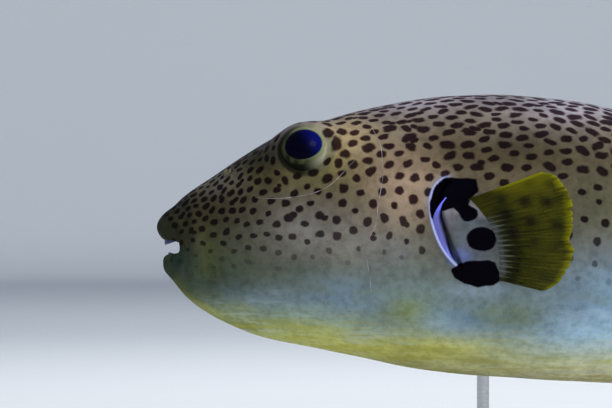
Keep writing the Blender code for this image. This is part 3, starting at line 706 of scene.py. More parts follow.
def spot_axes(points, heights, normals, eyes):
    """The ways along, across and out of a spot: they follow the body's outline, and ring the eyes."""
    x = points[:, 0]
    rise = np.maximum(heights, 0) * (back_line(x + 2) - back_line(x - 2)) / 4
    forward = np.stack([np.ones_like(x), 0 * x, rise], -1)
    for eye in eyes:
        offset = points - eye
        near = np.linalg.norm(offset, axis=1) < SPOT_FREE_EYE + EYE_RING
        forward[near] = np.cross(normals[near], offset[near])
    forward -= normals * np.sum(forward * normals, axis=1, keepdims=True)
    forward /= np.linalg.norm(forward, axis=1, keepdims=True)
    return np.stack([forward, np.cross(normals, forward), normals], 1)


def pick_apart(picks, points, ways, gaps):
    """Those of the picks that don't lie too close to one before them, by the spacings at their own places."""
    places, chosen = np.zeros((len(picks), 3)), []
    for pick in picks:
        offsets = (points[pick] - places[: len(chosen)]) @ (ways[pick] / gaps[pick, :, None]).T
        if not chosen or np.min(np.linalg.norm(offsets, axis=1)) > CLOSEST:
            places[len(chosen)] = points[pick]
            chosen.append(pick)
    return chosen


def even_out(chosen, points, ways, gaps, allowed):
    """Moves spots away from others that are close, in place, vertex by vertex."""
    tree = vertex_tree(points)
    for _ in range(EVENING_ROUNDS):
        places = points[chosen]
        others = vertex_tree(places)
        for k, pick in enumerate(chosen):
            near = [index for _, index, _ in others.find_n(places[k], 8) if index != k]
            offsets = (places[k] - places[near]) @ (ways[pick] / gaps[pick, :, None]).T
            lengths = np.maximum(np.linalg.norm(offsets, axis=1, keepdims=True), 0.05)
            push = NUDGE * np.sum(offsets / lengths * np.clip(ENOUGH - lengths, 0, None), axis=0) * gaps[pick]
            index = tree.find(places[k] + ways[pick, 0] * push[0] + ways[pick, 1] * push[1])[1]
            if allowed[index]:
                chosen[k] = index


def scatter_spots(points, heights, normals, areas):
    """Scatters the spots: each one's place, ways along and across, half sizes, strength and room."""
    free = points[:, 2] - spots_from(points[:, 0])
    eyes = [eye_axes(side)[0] for side, _ in SIDES]
    from_eye = np.min([np.linalg.norm(points - eye, axis=1) for eye in eyes], axis=0)
    off_lips = (points[:, 0] > 12) | ((points[:, 0] > 6.5) & (points[:, 2] > 16))
    allowed = (free > -15) & off_lips & (from_eye > SPOT_FREE_EYE) & ~in_fin_patch(points)
    along, across, gap_along, gap_across = spot_size(points[:, 0], heights)
    ways = spot_axes(points, heights, normals, eyes)
    gaps = np.stack([gap_along, gap_across, gap_across], -1)
    weight = np.where(allowed, areas, 0)
    picks = random.choice(len(points), SPOT_TRIES, p=weight / weight.sum())
    picks = picks[random.random(SPOT_TRIES) > 0.97 * fade(free[picks], 8, -10) ** 0.5]
    chosen = pick_apart(picks, points, ways, gaps)
    even_out(chosen, points, ways, gaps, allowed)
    others = vertex_tree(points[chosen])
    power = 1 - 0.1 * fade(free, 24, 4) - 0.6 * fade(free, 3, -14)
    spots = []
    for pick in chosen:
        beside = [points[pick] - place for place, _, _ in others.find_n(points[pick], 5)[1:]]
        room = np.min(np.linalg.norm(beside @ (ways[pick] / gaps[pick, :, None]).T, axis=1))
        size = min(room + 0.06, MOST_ROOM) * (1 - 0.35 * fade(free[pick], 12, -8))
        half_sizes = along[pick] * size, across[pick] * size
        spots.append((points[pick], *ways[pick, :2], *half_sizes, power[pick], room))
    return spots


def shape_spots(chosen):
    """The rounded shapes that make up the spots: place, axes divided by their half sizes, and strength.

    A few spots with room to spare are two shapes run together.
    """
    shapes = []
    for place, forward, sideways, along, across, power, room in chosen:
        tilt, size = random.normal(0, SPOT_TILT), random.uniform(*SPOT_SIZES)
        first = (forward * math.cos(tilt) + sideways * math.sin(tilt)) / (along * size)
        second = (sideways * math.cos(tilt) - forward * math.sin(tilt)) / (across * size)
        shapes.append((place, first, second, power))
        if random.random() < DOUBLE_SHARE and room > DOUBLE_ROOM:
            turn, scale = random.normal(0, DOUBLE_TURN), random.uniform(*DOUBLE_SIZES)
            beside = forward * 1.1 * along * math.cos(turn) + sideways * 1.2 * across * math.sin(turn)
            shapes.append((place + beside, first / scale, second / scale, power))
    return [np.array(values) for values in zip(*shapes)]


def spot_distance(first, second):
    """Distance from a spot's middle in its radii, from the places along its two axes."""
    return (np.abs(first) ** SPOT_SQUARENESS + np.abs(second) ** SPOT_SQUARENESS) ** (1 / SPOT_SQUARENESS)


def lay_spots(mesh, points, shapes):
    """Stores at each corner of each face its place in the radii of the two nearest spots, and their strength.

    Returns how dark the spots are at each vertex.
    """
    places, firsts, seconds, powers = shapes
    corners, face = corner_vertices(mesh)
    centres = np.stack([np.bincount(face, weights=points[corners, k]) for k in range(3)], -1)
    centres /= np.bincount(face)[:, None]
    tree = vertex_tree(centres)
    distance, owner = np.full((len(centres), 2), SPOT_REACH), np.full((len(centres), 2), -1)
    for k, place in enumerate(places):
        reach = SPOT_REACH / min(np.linalg.norm(firsts[k]), np.linalg.norm(seconds[k]))
        near = np.array([index for _, index, _ in tree.find_range(place, reach)])
        offset = centres[near] - place
        found = spot_distance(offset @ firsts[k], offset @ seconds[k])
        near, found = near[found < distance[near, 1]], found[found < distance[near, 1]]
        distance[near, 1], owner[near, 1] = found, k
        closer = near[found < distance[near, 0]]
        distance[closer], owner[closer] = distance[closer, ::-1], owner[closer, ::-1]
    shade = np.zeros(len(points))
    for column, name in enumerate(("spot", "spot_beside")):
        mine = owner[face, column]
        offset = points[corners] - places[mine]
        first, second = (
            np.where(mine < 0, NO_SPOT, np.sum(offset * axes[mine], axis=1)) for axes in (firsts, seconds)
        )
        store(mesh, name, np.stack([first, second, powers[mine]], -1), "FLOAT_VECTOR", "CORNER")
        np.maximum.at(shade, corners, fade(spot_distance(first, second), 1.4, 0.8) * powers[mine])
    return shade


def polygon_distance(points, corners, rounding=0.0):
    """Distance in side view from a polygon, negative inside it, with its corners rounded."""
    x, z = points[..., 0], points[..., 2]
    corners = np.array(corners, float)
    nearest = np.full(x.shape, 1e9)
    inside = np.zeros(x.shape, bool)
    for (x1, z1), (x2, z2) in zip(corners, np.roll(corners, -1, axis=0)):
        span_x, span_z = x2 - x1, z2 - z1
        share = np.clip(((x - x1) * span_x + (z - z1) * span_z) / (span_x**2 + span_z**2), 0, 1)
        nearest = np.minimum(nearest, np.hypot(x - x1 - share * span_x, z - z1 - share * span_z))
        crosses = (z1 > z) != (z2 > z)
        with np.errstate(divide="ignore", invalid="ignore"):
            inside ^= crosses & (x < (x2 - x1) * (z - z1) / (z2 - z1) + x1)
    return np.where(inside, -nearest, nearest) - rounding


# Black marks round the pectoral fin, in (x, z), before their corners are rounded.
GILL_MARK = (
    (183.4, 43.4), (192, 42.9), (202.0, 42.8), (202.6, 36.4), (200, 34.4), (197.0, 31.4), (196.4, 26.0),
    (192.4, 23.6), (188.4, 27.0), (181, 24.5), (177.4, 19.0), (175.4, 19.5), (174.9, 24.6), (175.0, 30.0),
    (178.0, 37.6),
)  # fmt: skip
LOWER_MARK = (
    (188.6, -13), (192.9, -10.2), (196.8, -8.6), (209.4, -8), (213, -9.6), (216.6, -18.6), (212, -20.6),
    (203.5, -22.4), (195.2, -19.8), (189.6, -15.8),
)  # fmt: skip
FIN_SPOTS = (((205.4, 6.4), (9.4, 7.4)), ((197.6, 21.8), (5.8, 4.7)))  # centre, half sizes
MARK_FRAY = 0.35


def mark_fields(points):
    """Distance from the black marks and outside the gill cover's edge, in mm, and the rim's strength."""
    waves = np.stack([wobble(points, 9, 21), 0 * points[..., 0], wobble(points, 9, 22)], -1)
    wavy = points + MARK_FRAY * waves
    marks = [polygon_distance(wavy, GILL_MARK, 1.2), polygon_distance(wavy, LOWER_MARK, 1.4)]
    for centre, half in FIN_SPOTS:
        marks.append((np.sqrt(off_centre(wavy, centre, half)) - 1) * min(half))
    outside, _, share = gill_place(points)
    return np.clip(np.min(marks, axis=0), -4, 4), np.clip(outside, -8, 8), fade(np.abs(share), 1.02, 0.86)


LOBE_WASHES = (
    ("pale lobe", srgb(86, 92, 100), (200, 8), (18, 25), 0.95),
    ("grey top of the lobe", srgb(112, 108, 122), (185, 21), (5, 7), 0.7),
    ("blue foot of the lobe", srgb(92, 106, 158), (192, -5), (8, 6), 0.7),
    ("halo under the lower mark", srgb(136, 150, 170), (203, -25), (22, 6), 0.4),
)


# ---------------------------------------------------------------- node trees


class Nodes:
    """Shorthand for building one material's node tree."""

    def __init__(self, name):
        self.material = bpy.data.materials.new(name)
        self.material.use_nodes = True
        self.tree = self.material.node_tree
        self.shader = self.tree.nodes["Principled BSDF"]

    def add(self, kind, inputs=(), **settings):
        """Adds a node, with its inputs by name or number."""
        node = self.tree.nodes.new("ShaderNode" + kind)
        for name, value in settings.items():
            setattr(node, name, value)
        for name, value in dict(inputs).items():
            self.put(node.inputs[name], value)
        return node

    def put(self, socket, value):
        """Links an output to a socket, or sets its value. A colour is given in 0 to 255."""
        if isinstance(value, bpy.types.NodeSocket):
            self.tree.links.new(value, socket)
        elif socket.type == "RGBA":
            socket.default_value = (*srgb(*value), 1.0)
        else:
            socket.default_value = value

    def attribute(self, name, output="Fac"):
        """A field that the mesh carries."""
        return self.add("Attribute", attribute_name=name).outputs[output]

    def place(self):
        """The place in the model's own frame, in metres."""
        return self.add("TexCoord").outputs["Object"]

    def noise(self, vector, scale, detail=2.0, roughness=0.5, output="Fac"):
        """Noise of one scale, or of one each along x, y and z."""
        if isinstance(scale, tuple):
            vector, scale = self.add("Mapping", {"Vector": vector, "Scale": scale}).outputs["Vector"], 1.0
        inputs = {"Vector": vector, "Scale": scale, "Detail": detail, "Roughness": roughness}
        return self.add("TexNoise", inputs).outputs[output]

    def split(self, vector):
        return self.add("SeparateXYZ", {"Vector": vector}).outputs

    def math(self, operation, *values):
        return self.add("Math", enumerate(values), operation=operation).outputs[0]

    def times(self, product, *factors):
        """Everything multiplied together."""
        for factor in factors:
            product = self.math("MULTIPLY", product, factor)
        return product

    def step(self, value, start, end, low=0.0, high=1.0):
        """A smooth step from low at start to high at end."""
        inputs = {"Value": value, "From Min": start, "From Max": end, "To Min": low, "To Max": high}
        return self.add("MapRange", inputs, interpolation_type="SMOOTHSTEP").outputs["Result"]

    def layers(self, base, *layers):
        """Lays colours over base in turn. A layer is its share, its colour and perhaps how it blends."""
        for share, colour, *blend in layers:
            node = self.add("Mix", data_type="RGBA", blend_type=blend[0] if blend else "MIX")
            for socket, value in ((0, share), (6, base), (7, colour)):
                self.put(node.inputs[socket], value)
            base = node.outputs[2]
        return base

    def bump(self, *layers):
        """A normal from height, distance and strength, laid over each other in turn."""
        normal = {}
        for height, distance, strength in layers:
            inputs = {"Height": height, "Distance": distance, "Strength": strength, **normal}
            normal = {"Normal": self.add("Bump", inputs).outputs["Normal"]}
        return normal["Normal"]

    def finish(self, **inputs):
        """Sets the shader's inputs, with _ for a space, and returns the material."""
        for name, value in inputs.items():
            self.put(self.shader.inputs[name.replace("_", " ")], value)
        return self.material


def skin_material():
    """Countershaded skin, with its spots and marks placed by fields that the mesh carries."""
    nodes = Nodes("puffer_skin")
    step, times = nodes.step, nodes.times
    place, belly, sides = nodes.place(), nodes.attribute("belly"), nodes.attribute("low_side")
    fine = nodes.noise(place, 210.0, 4.0, 0.62)
    streaks = nodes.noise(place, (22.0, 60.0, 300.0), 4.0, 0.6)
    wisps = nodes.noise(place, (14.0, 30.0, 52.0), 5.0, 0.6)
    ground = nodes.layers(
        nodes.attribute("ground", "Color"),
        (step(nodes.noise(place, 38.0, 3.0), 0.6, 0.35, 0.0, 0.3), (178, 178, 192), "MULTIPLY"),
        (step(fine, 0.36, 0.72, 0.0, 0.4), (156, 154, 142), "MULTIPLY"),
        (times(step(streaks, 0.46, 0.66), belly, 0.45), (178, 172, 56)),
        (times(step(wisps, 0.5, 0.7, 0.0, 0.28), sides), (172, 190, 200)),
        (times(step(wisps, 0.5, 0.32, 0.0, 0.4), sides), (112, 122, 74)),
        (times(step(streaks, 0.45, 0.33), belly, 0.35), (192, 202, 188)),
    )
    spot_share, spot_core = spot_nodes(nodes, place)
    spot_tone = nodes.layers((106, 84, 90), (spot_core, (82, 64, 77)))
    spotted = nodes.layers(ground, (1.0, spot_tone, "MULTIPLY"), (1.0, (7, 6, 7), "ADD"))
    rim = times(step(nodes.math("ABSOLUTE", nodes.attribute("gill")), 1.4, 0.4), nodes.attribute("rim"))
    frayed = nodes.math("MULTIPLY_ADD", nodes.noise(place, 300.0, 3.0), 0.8, nodes.attribute("marks"))
    surface = nodes.layers(
        ground,
        (spot_share, spotted),
        (times(rim, 0.85), (150, 158, 206)),
        (step(frayed, 1.0, -0.1), (4, 3, 9)),
        (nodes.attribute("inside"), (30, 17, 19)),
    )
    spines = nodes.add("TexVoronoi", {"Vector": place, "Scale": 330.0}, feature="F1").outputs["Distance"]
    normal = nodes.bump(
        (nodes.noise(place, 700.0, 3.0, 0.6), 0.00025, 0.35),
        (step(spines, 0.28, 0.0), 0.00018, 0.22),
        (times(streaks, belly), 0.0006, 0.5),
        (rim, 0.0005, 0.8),
    )
    roughness = step(fine, 0.3, 0.75, 0.46, 0.66)
    return nodes.finish(Base_Color=surface, Roughness=roughness, Specular_IOR_Level=0.012, Normal=normal)


def spot_nodes(nodes, place):
    """How strong the spots are, and how near to a spot's middle, from the places that lay_spots stored."""
    warp = nodes.split(nodes.noise(place, 170.0, output="Color"))
    fray = nodes.noise(place, 420.0, 3.0)
    darks, edges = [], []
    for name in ("spot", "spot_beside"):
        spot = nodes.split(nodes.attribute(name, "Vector"))
        bent = [nodes.math("MULTIPLY_ADD", warp[k], 1.1, nodes.math("ADD", spot[k], -0.55)) for k in (0, 1)]
        bent = [nodes.math("POWER", nodes.math("ABSOLUTE", value), SPOT_SQUARENESS) for value in bent]
        reach = nodes.math("POWER", nodes.math("ADD", *bent), 1 / SPOT_SQUARENESS)
        edges.append(nodes.math("MULTIPLY_ADD", fray, 0.25, reach))
        darks.append(nodes.times(nodes.step(edges[-1], 1.32, 0.86), spot[2]))
    return nodes.math("MAXIMUM", *darks), nodes.step(nodes.math("MINIMUM", *edges), 1.1, 0.7)


# ---------------------------------------------------------------- skin


LIP_TONES = (srgb(46, 48, 33), srgb(42, 55, 45))  # upper, lower
LID_TONES = (srgb(8, 12, 4), srgb(138, 136, 110))  # turned away from the light, turned to it


def blended(colours, colour, share):
    """Colours mixed with one more, by its share at each point."""
    return colours + (np.array(colour) - colours) * np.asarray(share)[..., None]


def washed(colours, points, washes, power=1):
    """Colours with washes of others laid over them."""
    for _, colour, centre, reach, strength in washes:
        share = strength * np.exp(-(off_centre(points, centre, reach) ** power))
        colours = blended(colours, colour, share)
    return colours


def skin_attributes(mesh, points, places, lids):
    """Writes the fields that the skin's material reads. Returns how dark the spots are at each vertex."""
    x, z = points[:, 0], points[:, 2]
    top, bottom, middle = ring_values(places)[:, 4:7].T
    heights = np.where(z > middle, (z - middle) / (top - middle), (z - middle) / (middle - bottom))
    outside, turn, _ = gill_place(points)
    turn = np.degrees(turn)
    halo = np.exp(-((np.clip(outside, 0, None) / 3.2) ** 2)) * fade(turn, -6, 22) * fade(turn, 58, 46)
    on_lips = fade(places, ring_place(LIP_LAST) + 2, ring_place(LIP_LAST) - 5)
    share, facing = lids.T
    # painted light and shade on the lids: pale where turned to the light, nearly black where turned away
    lid = blended(np.array(LID_TONES[0]), LID_TONES[1], fade(facing, -0.55, 1.0))
    ground = washed(body_tone(heights + 0.05 * wobble(points, 60, 11)), points, WASHES)
    ground = washed(ground, points, LOBE_WASHES, 2)
    ground = blended(ground, srgb(150, 146, 148), 0.6 * halo)
    ground = blended(ground, np.where(z[:, None] > 0, *LIP_TONES), 0.85 * on_lips)
    ground = blended(ground, lid, 0.9 * fade(share, 0.9, 0.3))
    store(mesh, "ground", np.column_stack([ground, np.ones(len(ground))]), "FLOAT_COLOR")
    spots = scatter_spots(points, heights, read(mesh.vertex_normals, "vector", 3), vertex_areas(mesh))
    shade = lay_spots(mesh, points, shape_spots(spots))
    marks, gill, rim = mark_fields(points)
    fields = {
        "marks": marks,
        "gill": gill,
        "rim": rim,
        "inside": fade(places, ring_place(LIP_EDGE) + 0.6, ring_place(LIP_FIRST)),
        "belly": fade(heights, -0.5, -0.85) * fade(x, 20, 60),
        "low_side": fade(heights, -0.2, -0.5) * fade(heights, -1.0, -0.75) * fade(x, 30, 80),
    }
    for name, field in fields.items():
        store(mesh, name, field)
    return shade


def make_skin():
    """The one skin of head, trunk, tail and lips. Returns it, its vertices and how dark each is spotted."""
    points, places = skin_points()
    rows, columns, _ = points.shape
    caps = [(-1, columns / 2), (rows, columns / 2)]
    grid_at = np.concatenate([np.stack(np.divmod(np.arange(rows * columns), columns), -1), caps])
    vertices = np.concatenate([points.reshape(-1, 3), [points[0].mean(0), points[-1].mean(0)]])
    vertices, faces, grid_at, lids = open_eyes(vertices, ball_faces(rows, columns), grid_at)
    used = np.zeros(len(vertices), bool)
    used[[v for face in faces for v in face]] = True
    renumbered = np.cumsum(used) - 1
    faces = [tuple(int(renumbered[v]) for v in face) for face in faces]
    vertices, grid_at, lids = vertices[used], grid_at[used], lids[used]
    replaced = ("head", "trunk", "tail", "lip_upper", "lip_lower")
    skin = add_piece("skin", vertices, faces, skin_material(), "skin", *replaced)
    lay_skin_uv(skin.data, grid_at, rows, columns)
    shade = skin_attributes(skin.data, vertices, np.interp(grid_at[:, 0], np.arange(rows), places), lids)
    return skin, vertices, shade


def lay_skin_uv(mesh, grid_at, rows, columns):
    """Unrolls the skin: round the body across the map, and from mouth to tail up it."""
    layer = mesh.uv_layers.new(name="OFBake")
    corners, face = corner_vertices(mesh)
    row, column = grid_at[corners].T
    widest = np.zeros(len(mesh.polygons))
    np.maximum.at(widest, face, column)
    at_cap = (row < 0) | (row > rows - 1)
    wraps = (widest[face] == columns - 1) & (column == 0) & ~at_cap
    column = np.where(wraps, columns, column)
    beside = np.bincount(face, weights=np.where(at_cap, 0, column)) / np.bincount(face, weights=~at_cap)
    column = np.where(at_cap, beside[face], column)
    uv = np.stack([0.01 + 0.98 * column / columns, 0.02 + 0.96 * row / (rows - 1)], -1)
    layer.data.foreach_set("uv", uv.astype(np.float32).ravel())


# ---------------------------------------------------------------- eyes


PUPIL_HALF = (math.radians(44.2), math.radians(37.0))  # along and across its longer way
PUPIL_RAISE = math.radians(3)
PUPIL_SLANT = math.radians(14)


def unit_ball(axis, around=72, rows=54):
    """Vertices and faces of a fine ball whose poles lie on axis."""
    turn = np.array(Vector((0, 0, 1)).rotation_difference(Vector(axis)).to_matrix())
    tilts = np.linspace(0, np.pi, rows + 1)[1:-1, None]
    spins = np.arange(around) * 2 * np.pi / around
    x, y = np.sin(tilts) * np.cos(spins), np.sin(tilts) * np.sin(spins)
    rings = np.stack([x, y, np.cos(tilts) + 0 * spins], -1)
    local = np.concatenate([rings.reshape(-1, 3), [(0, 0, 1), (0, 0, -1)]])
    return local @ turn.T, ball_faces(len(tilts), around)


def eye_material():
    """A deep blue pupil with a painted blue reflection above and behind, a thin olive rim, and a speckled
    iris painted lighter above and behind as painted light and darker below and ahead as painted shade.
    """
    nodes = Nodes("puffer_eye")
    step, times = nodes.step, nodes.times
    place, pupil, high = nodes.place(), nodes.attribute("pupil"), nodes.attribute("high")
    flecks = nodes.noise(place, 900.0, 3.0, 0.6)
    rays = nodes.add("TexWave", {"Vector": place, "Scale": 40.0, "Distortion": 6.0, "Detail": 2.0})
    # painted light and shade: iris, rim and outer ring pale where turned up and back, dark where turned down
    # and ahead
    lit = step(high, -0.7, 1.0)
    outer = nodes.layers((9, 13, 5), (lit, (148, 146, 126)))
    # painted reflection: the pupil's navy turns bright blue where turned up and back
    deep = nodes.layers((0, 0, 16), (step(nodes.attribute("pupil_reflection"), -0.1, 1.0), (4, 8, 84)))
    colour = nodes.layers(
        (8, 13, 5),
        (lit, (126, 128, 104)),
        (times(step(flecks, 0.35, 0.7), 0.4), (50, 58, 30)),
        (times(rays.outputs["Fac"], 0.15), (130, 132, 84)),
        (times(step(pupil, 1.09, 1.03), step(high, -1.0, 0.8, 0.15, 0.9)), (84, 98, 62)),
        (step(pupil, 1.16, 1.36), outer),
        (step(pupil, 1.03, 0.96), deep),
    )
    return nodes.finish(
        Base_Color=colour, Roughness=0.5, Specular_IOR_Level=0.02, Coat_Weight=0.035, Coat_Roughness=0.05,
        Coat_IOR=1.36,
    )  # fmt: skip


def make_eyes():
    """The eyeballs, with fields for the pupil's oval and for how far each point is turned to the light."""
    material = eye_material()
    for side, word in SIDES:
        centre, look, up, back = eye_axes(side)
        outward, faces = unit_ball(look)
        vertices = centre + EYE_RADIUS * outward
        ball = add_piece("eyeball_" + word, vertices, faces, material, "eye", "eye_" + word)
        gaze = look * math.cos(PUPIL_RAISE) + up * math.sin(PUPIL_RAISE)
        up = up * math.cos(PUPIL_RAISE) - look * math.sin(PUPIL_RAISE)
        tilt = np.arccos(np.clip(outward @ gaze, -1, 1))
        spin = np.arctan2(outward @ up, outward @ back) - PUPIL_SLANT
        rim = 1 / np.hypot(np.cos(spin) / PUPIL_HALF[0], np.sin(spin) / PUPIL_HALF[1])
        store(ball.data, "pupil", tilt / rim)
        # fields for the pupil's painted reflection and the iris's painted light, largest up and back
        for name, backwards in (("pupil_reflection", 0.85), ("high", 0.83)):
            light = (0.55 * up + backwards * back) / math.sin(PUPIL_HALF[0])
            store(ball.data, name, outward @ light)


# ---------------------------------------------------------------- fins


FIN_STEPS = 56
FIN_LEAST = 0.26  # half thickness of the membrane, wherever it is thinnest


def fin_sheet(rays, columns, root, angle, length, tooth, outward, lean):
    """The middle surface of a fin: one row of points for each place across it, from root to tip.

    root, angle and length are functions of that place. The edge is frayed, and toothed between the rays.
    """
    turns = np.interp(np.arange(0.5, FIN_STEPS - 1), (0, FIN_STEPS - 1), lean)[:, None]
    points = []
    for place in np.linspace(0, 1, (rays - 1) * columns + 1):
        notch = tooth * (1 - abs(math.cos(math.pi * place * (rays - 1))))
        fray = 0.012 * math.sin(place * 37 + 1) + 0.010 * math.sin(place * 91)
        reach = length(place) * (0.985 - notch - abs(fray)) + ROOT_SUNK
        heading = np.array((math.cos(angle(place)), 0.0, math.sin(angle(place))))
        steps = np.cos(turns) * heading + np.sin(turns) * np.array(outward)
        route = np.concatenate([np.zeros((1, 3)), np.cumsum(steps, axis=0)])
        points.append(np.array(root(place)) + route * reach / (FIN_STEPS - 1))
    return np.array(points)


def make_fin(name, replaced, material, rays, thickness, ripple, **sheet):
    """A fin of rays and membrane: low ridges on both faces, an uneven edge and a slight ripple."""
    points = fin_sheet(rays, **sheet)
    rows, steps, _ = points.shape
    across, out = np.linspace(0, 1, rows)[:, None], np.linspace(0, 1, steps)[None, :]
    ridge, split = (np.abs(np.cos(n * np.pi * across * (rays - 1))) ** 3 for n in (1, 2))
    ridges = ridge + (split - ridge) * fade(out, 0.45, 0.65)
    normals = np.cross(np.gradient(points, axis=0), np.gradient(points, axis=1))
    normals /= np.linalg.norm(normals, axis=2, keepdims=True)
    wave = ripple * out**2 * (np.sin(across * 17) + 0.6 * np.sin(across * 31 + 2) * out)
    points = points + normals * wave[..., None]
    base = np.interp(out, (0, 0.25, 1), (thickness[0], thickness[0] * 0.55, thickness[1])) / 2
    half = np.maximum(base * (0.9 + 0.1 * ridges), FIN_LEAST)
    half[:, -1] *= 0.6
    half[[0, -1], :] *= 0.8
    off = normals * half[..., None]
    vertices = np.concatenate([points + off, points - off]).reshape(-1, 3)
    made = add_piece(name, vertices, slab_faces(rows, steps), material, "fin", replaced)
    for label, field in (("out", out), ("across", across), ("ray", ridges)):
        store(made.data, label, np.tile(np.broadcast_to(field, (rows, steps)).ravel(), 2))
    return made, vertices


def fin_material(name, ray_roots, spots, edge):
    """Olive membrane streaked along its rays. ray_roots, spots and edge set how strong each marking is."""
    nodes = Nodes(name)
    step, times = nodes.step, nodes.times
    place = nodes.place()
    out, across, ray = (nodes.attribute(label) for label in ("out", "across", "ray"))
    fan = nodes.add("CombineXYZ", {"X": times(across, 44.0), "Y": times(out, 2.6)}).outputs["Vector"]
    streaks = nodes.noise(fan, 1.0, 4.0, 0.62)
    band = times(step(out, 0.14, 0.27), step(out, 0.48, 0.34), step(across, 0.1, 0.35, 0.3, 0.9))
    behind = times(nodes.attribute("behind"), step(across, 0.75, 0.4, 0.45, 0.85))
    frayed = nodes.math("MULTIPLY_ADD", streaks, -0.3, nodes.math("ADD", out, 0.15))
    middle = times(step(across, 0.22, 0.4), step(across, 1.0, 0.9), ray_roots)
    leading = nodes.math("MAXIMUM", step(across, 0.045, 0.01), step(across, 0.2, 0.0, 0.0, 0.4))
    leading = times(leading, step(out, 0.3, 0.6))
    trailing = times(step(out, 0.9, 1.0), step(streaks, 0.35, 0.6, 0.3, 0.9))
    dots = nodes.add("TexVoronoi", {"Vector": place, "Scale": 72.0, "Randomness": 0.8}, feature="F1")
    colour = nodes.layers(
        (44, 44, 3),
        (step(out, 0.3, 0.9), (62, 63, 5)),
        (step(across, 0.5, 0.1, 0.0, 0.5), (76, 72, 10)),
        (band, (18, 20, 3)),
        (step(nodes.noise(place, 60.0, 3.0), 0.35, 0.7, 0.0, 0.5), (38, 38, 3)),
        (step(streaks, 0.48, 0.32, 0.0, 0.8), (20, 21, 3)),
        (step(streaks, 0.54, 0.72, 0.0, 0.6), (92, 88, 16)),
        (step(ray, 0.5, 0.95, 0.0, 0.15), (84, 84, 18)),
        (behind, (18, 15, 6)),
        (times(step(frayed, 0.2, 0.12), middle), (80, 85, 88)),
        (times(step(ray, 0.4, 0.95), step(frayed, 0.33, 0.12), middle), (104, 110, 102)),
        (times(nodes.math("MAXIMUM", leading, trailing), edge), (136, 132, 8)),
        (times(step(dots.outputs["Distance"], 0.34, 0.2), spots), (30, 26, 18)),
    )
    normal = nodes.bump((streaks, 0.0005, 0.35))
    clear = step(out, 0.2, 0.7, 0.98, 0.9)
    return nodes.finish(Base_Color=colour, Roughness=0.6, Specular_IOR_Level=0.06, Alpha=clear, Normal=normal)


# The root of the fin as the eye sees it, a little behind the solid's, where its rays leave the lobe.
RAY_ROOTS = ((0, 200, 31), (0.5, 214.4, 8), (1, 219.5, -19))
WORN_PLACE, WORN_WIDTH, WORN_DEPTH = 0.58, 0.06, 3.5  # the shallow bay worn into each pectoral fin's edge


def make_pectoral_fins(skin_vertices, spot_shade):
    """The two fans behind the gills, with the body's spots faintly seen through them."""
    material = fin_material("pectoral_fin", 0.9, 0.0, 0.8)
    root_line = smooth_curve(RAY_ROOTS)
    angle = smooth_curve(((0, math.radians(21.3)), (0.5, math.radians(7)), (1, math.radians(-14))))
    unworn = smooth_curve((
        (0, 56.5), (0.05, 62.3), (0.12, 65.3), (0.25, 65.5), (0.45, 60), (0.75, 52), (0.88, 43.8), (0.96, 36),
        (1, 29),
    ))  # fmt: skip

    def length(place):
        return unworn(place) - WORN_DEPTH * math.exp(-(((place - WORN_PLACE) / WORN_WIDTH) ** 2))

    for side, word in SIDES:

        def root(place, side=side):
            x, z = root_line(place)
            return (x - ROOT_SUNK / 2, side * (side_of_body(x, z) + LOBE_HEIGHT - ROOT_SUNK), z)

        fin, vertices = make_fin(
            "pectoral_fin_" + word, "fin_pectoral_" + word, material, 19, (3.2, 0.9), 0.7, columns=8,
            root=root, angle=angle, length=length, tooth=0.012, outward=(0, side, 0),
            lean=np.radians((56, 26)),
        )  # fmt: skip
        store(fin.data, "behind", shade_behind(vertices, skin_vertices, spot_shade))


def shade_behind(vertices, skin_vertices, spot_shade):
    """How dark the skin's spots are straight behind each vertex of a fin, blurred."""
    side = np.sign(vertices[:, 1].mean())
    near = (skin_vertices[:, 1] * side > 20) & (np.abs(skin_vertices[:, 0] - 245) < 60)
    shade, tree = spot_shade[near], vertex_tree(skin_vertices[near] * (1, 0, 1))
    nearest = [[index for _, index, _ in tree.find_n(vertex, 6)] for vertex in vertices * (1, 0, 1)]
    return shade[nearest].mean(axis=1)


def make_middle_fins():
    """The dorsal, anal and tail fins, which stand in the body's middle plane."""
    material = fin_material("middle_fins", 0.35, 0.8, 0.6)
    dorsal_length = smooth_curve(((0, 38), (0.15, 64), (0.4, 80), (0.65, 80), (0.85, 64), (1, 40)))
    anal_length = smooth_curve(((0, 32), (0.15, 55), (0.4, 69), (0.65, 69), (0.85, 54), (1, 34)))
    tail_length = smooth_curve(((0, 88), (0.2, 103), (0.5, TAIL_FIN_LENGTH), (0.8, 103), (1, 88)))

    def dorsal_root(place):
        x = np.interp(place, (0, 1), DORSAL_ROOT)
        return (x, 0.0, back_line(x) - ROOT_SUNK)

    def anal_root(place):
        x = np.interp(place, (0, 1), ANAL_ROOT)
        return (x, 0.0, belly_line(x) + ROOT_SUNK)

    def tail_root(place):
        return (STANDARD_LENGTH - ROOT_SUNK, 0.0, np.interp(place, (0, 1), TAIL_FIN_ROOT))

    # Name, node, root, length, thickness at the root, and degrees: first ray, last ray, lean at root and tip.
    fins = (
        ("dorsal_fin", "fin_dorsal", dorsal_root, dorsal_length, 4.4, 72, 22, (-5, 12)),
        ("anal_fin", "fin_anal", anal_root, anal_length, 4.0, -72, -22, (-5, 12)),
        ("tail_fin", "fin_caudal", tail_root, tail_length, 6.4, 19, -19, (0, 0)),
    )
    for name, node, root, length, thick, first, last, lean in fins:
        angle = smooth_curve(((0, math.radians(first)), (1, math.radians(last))))
        make_fin(
            name, node, material, 11, (thick, 0.9), 0.9, columns=10, root=root, angle=angle, length=length,
            tooth=0.02, outward=(0, 1, 0), lean=np.radians(lean),
        )  # fmt: skip


# ---------------------------------------------------------------- mouth, nostrils, gill membrane, canals


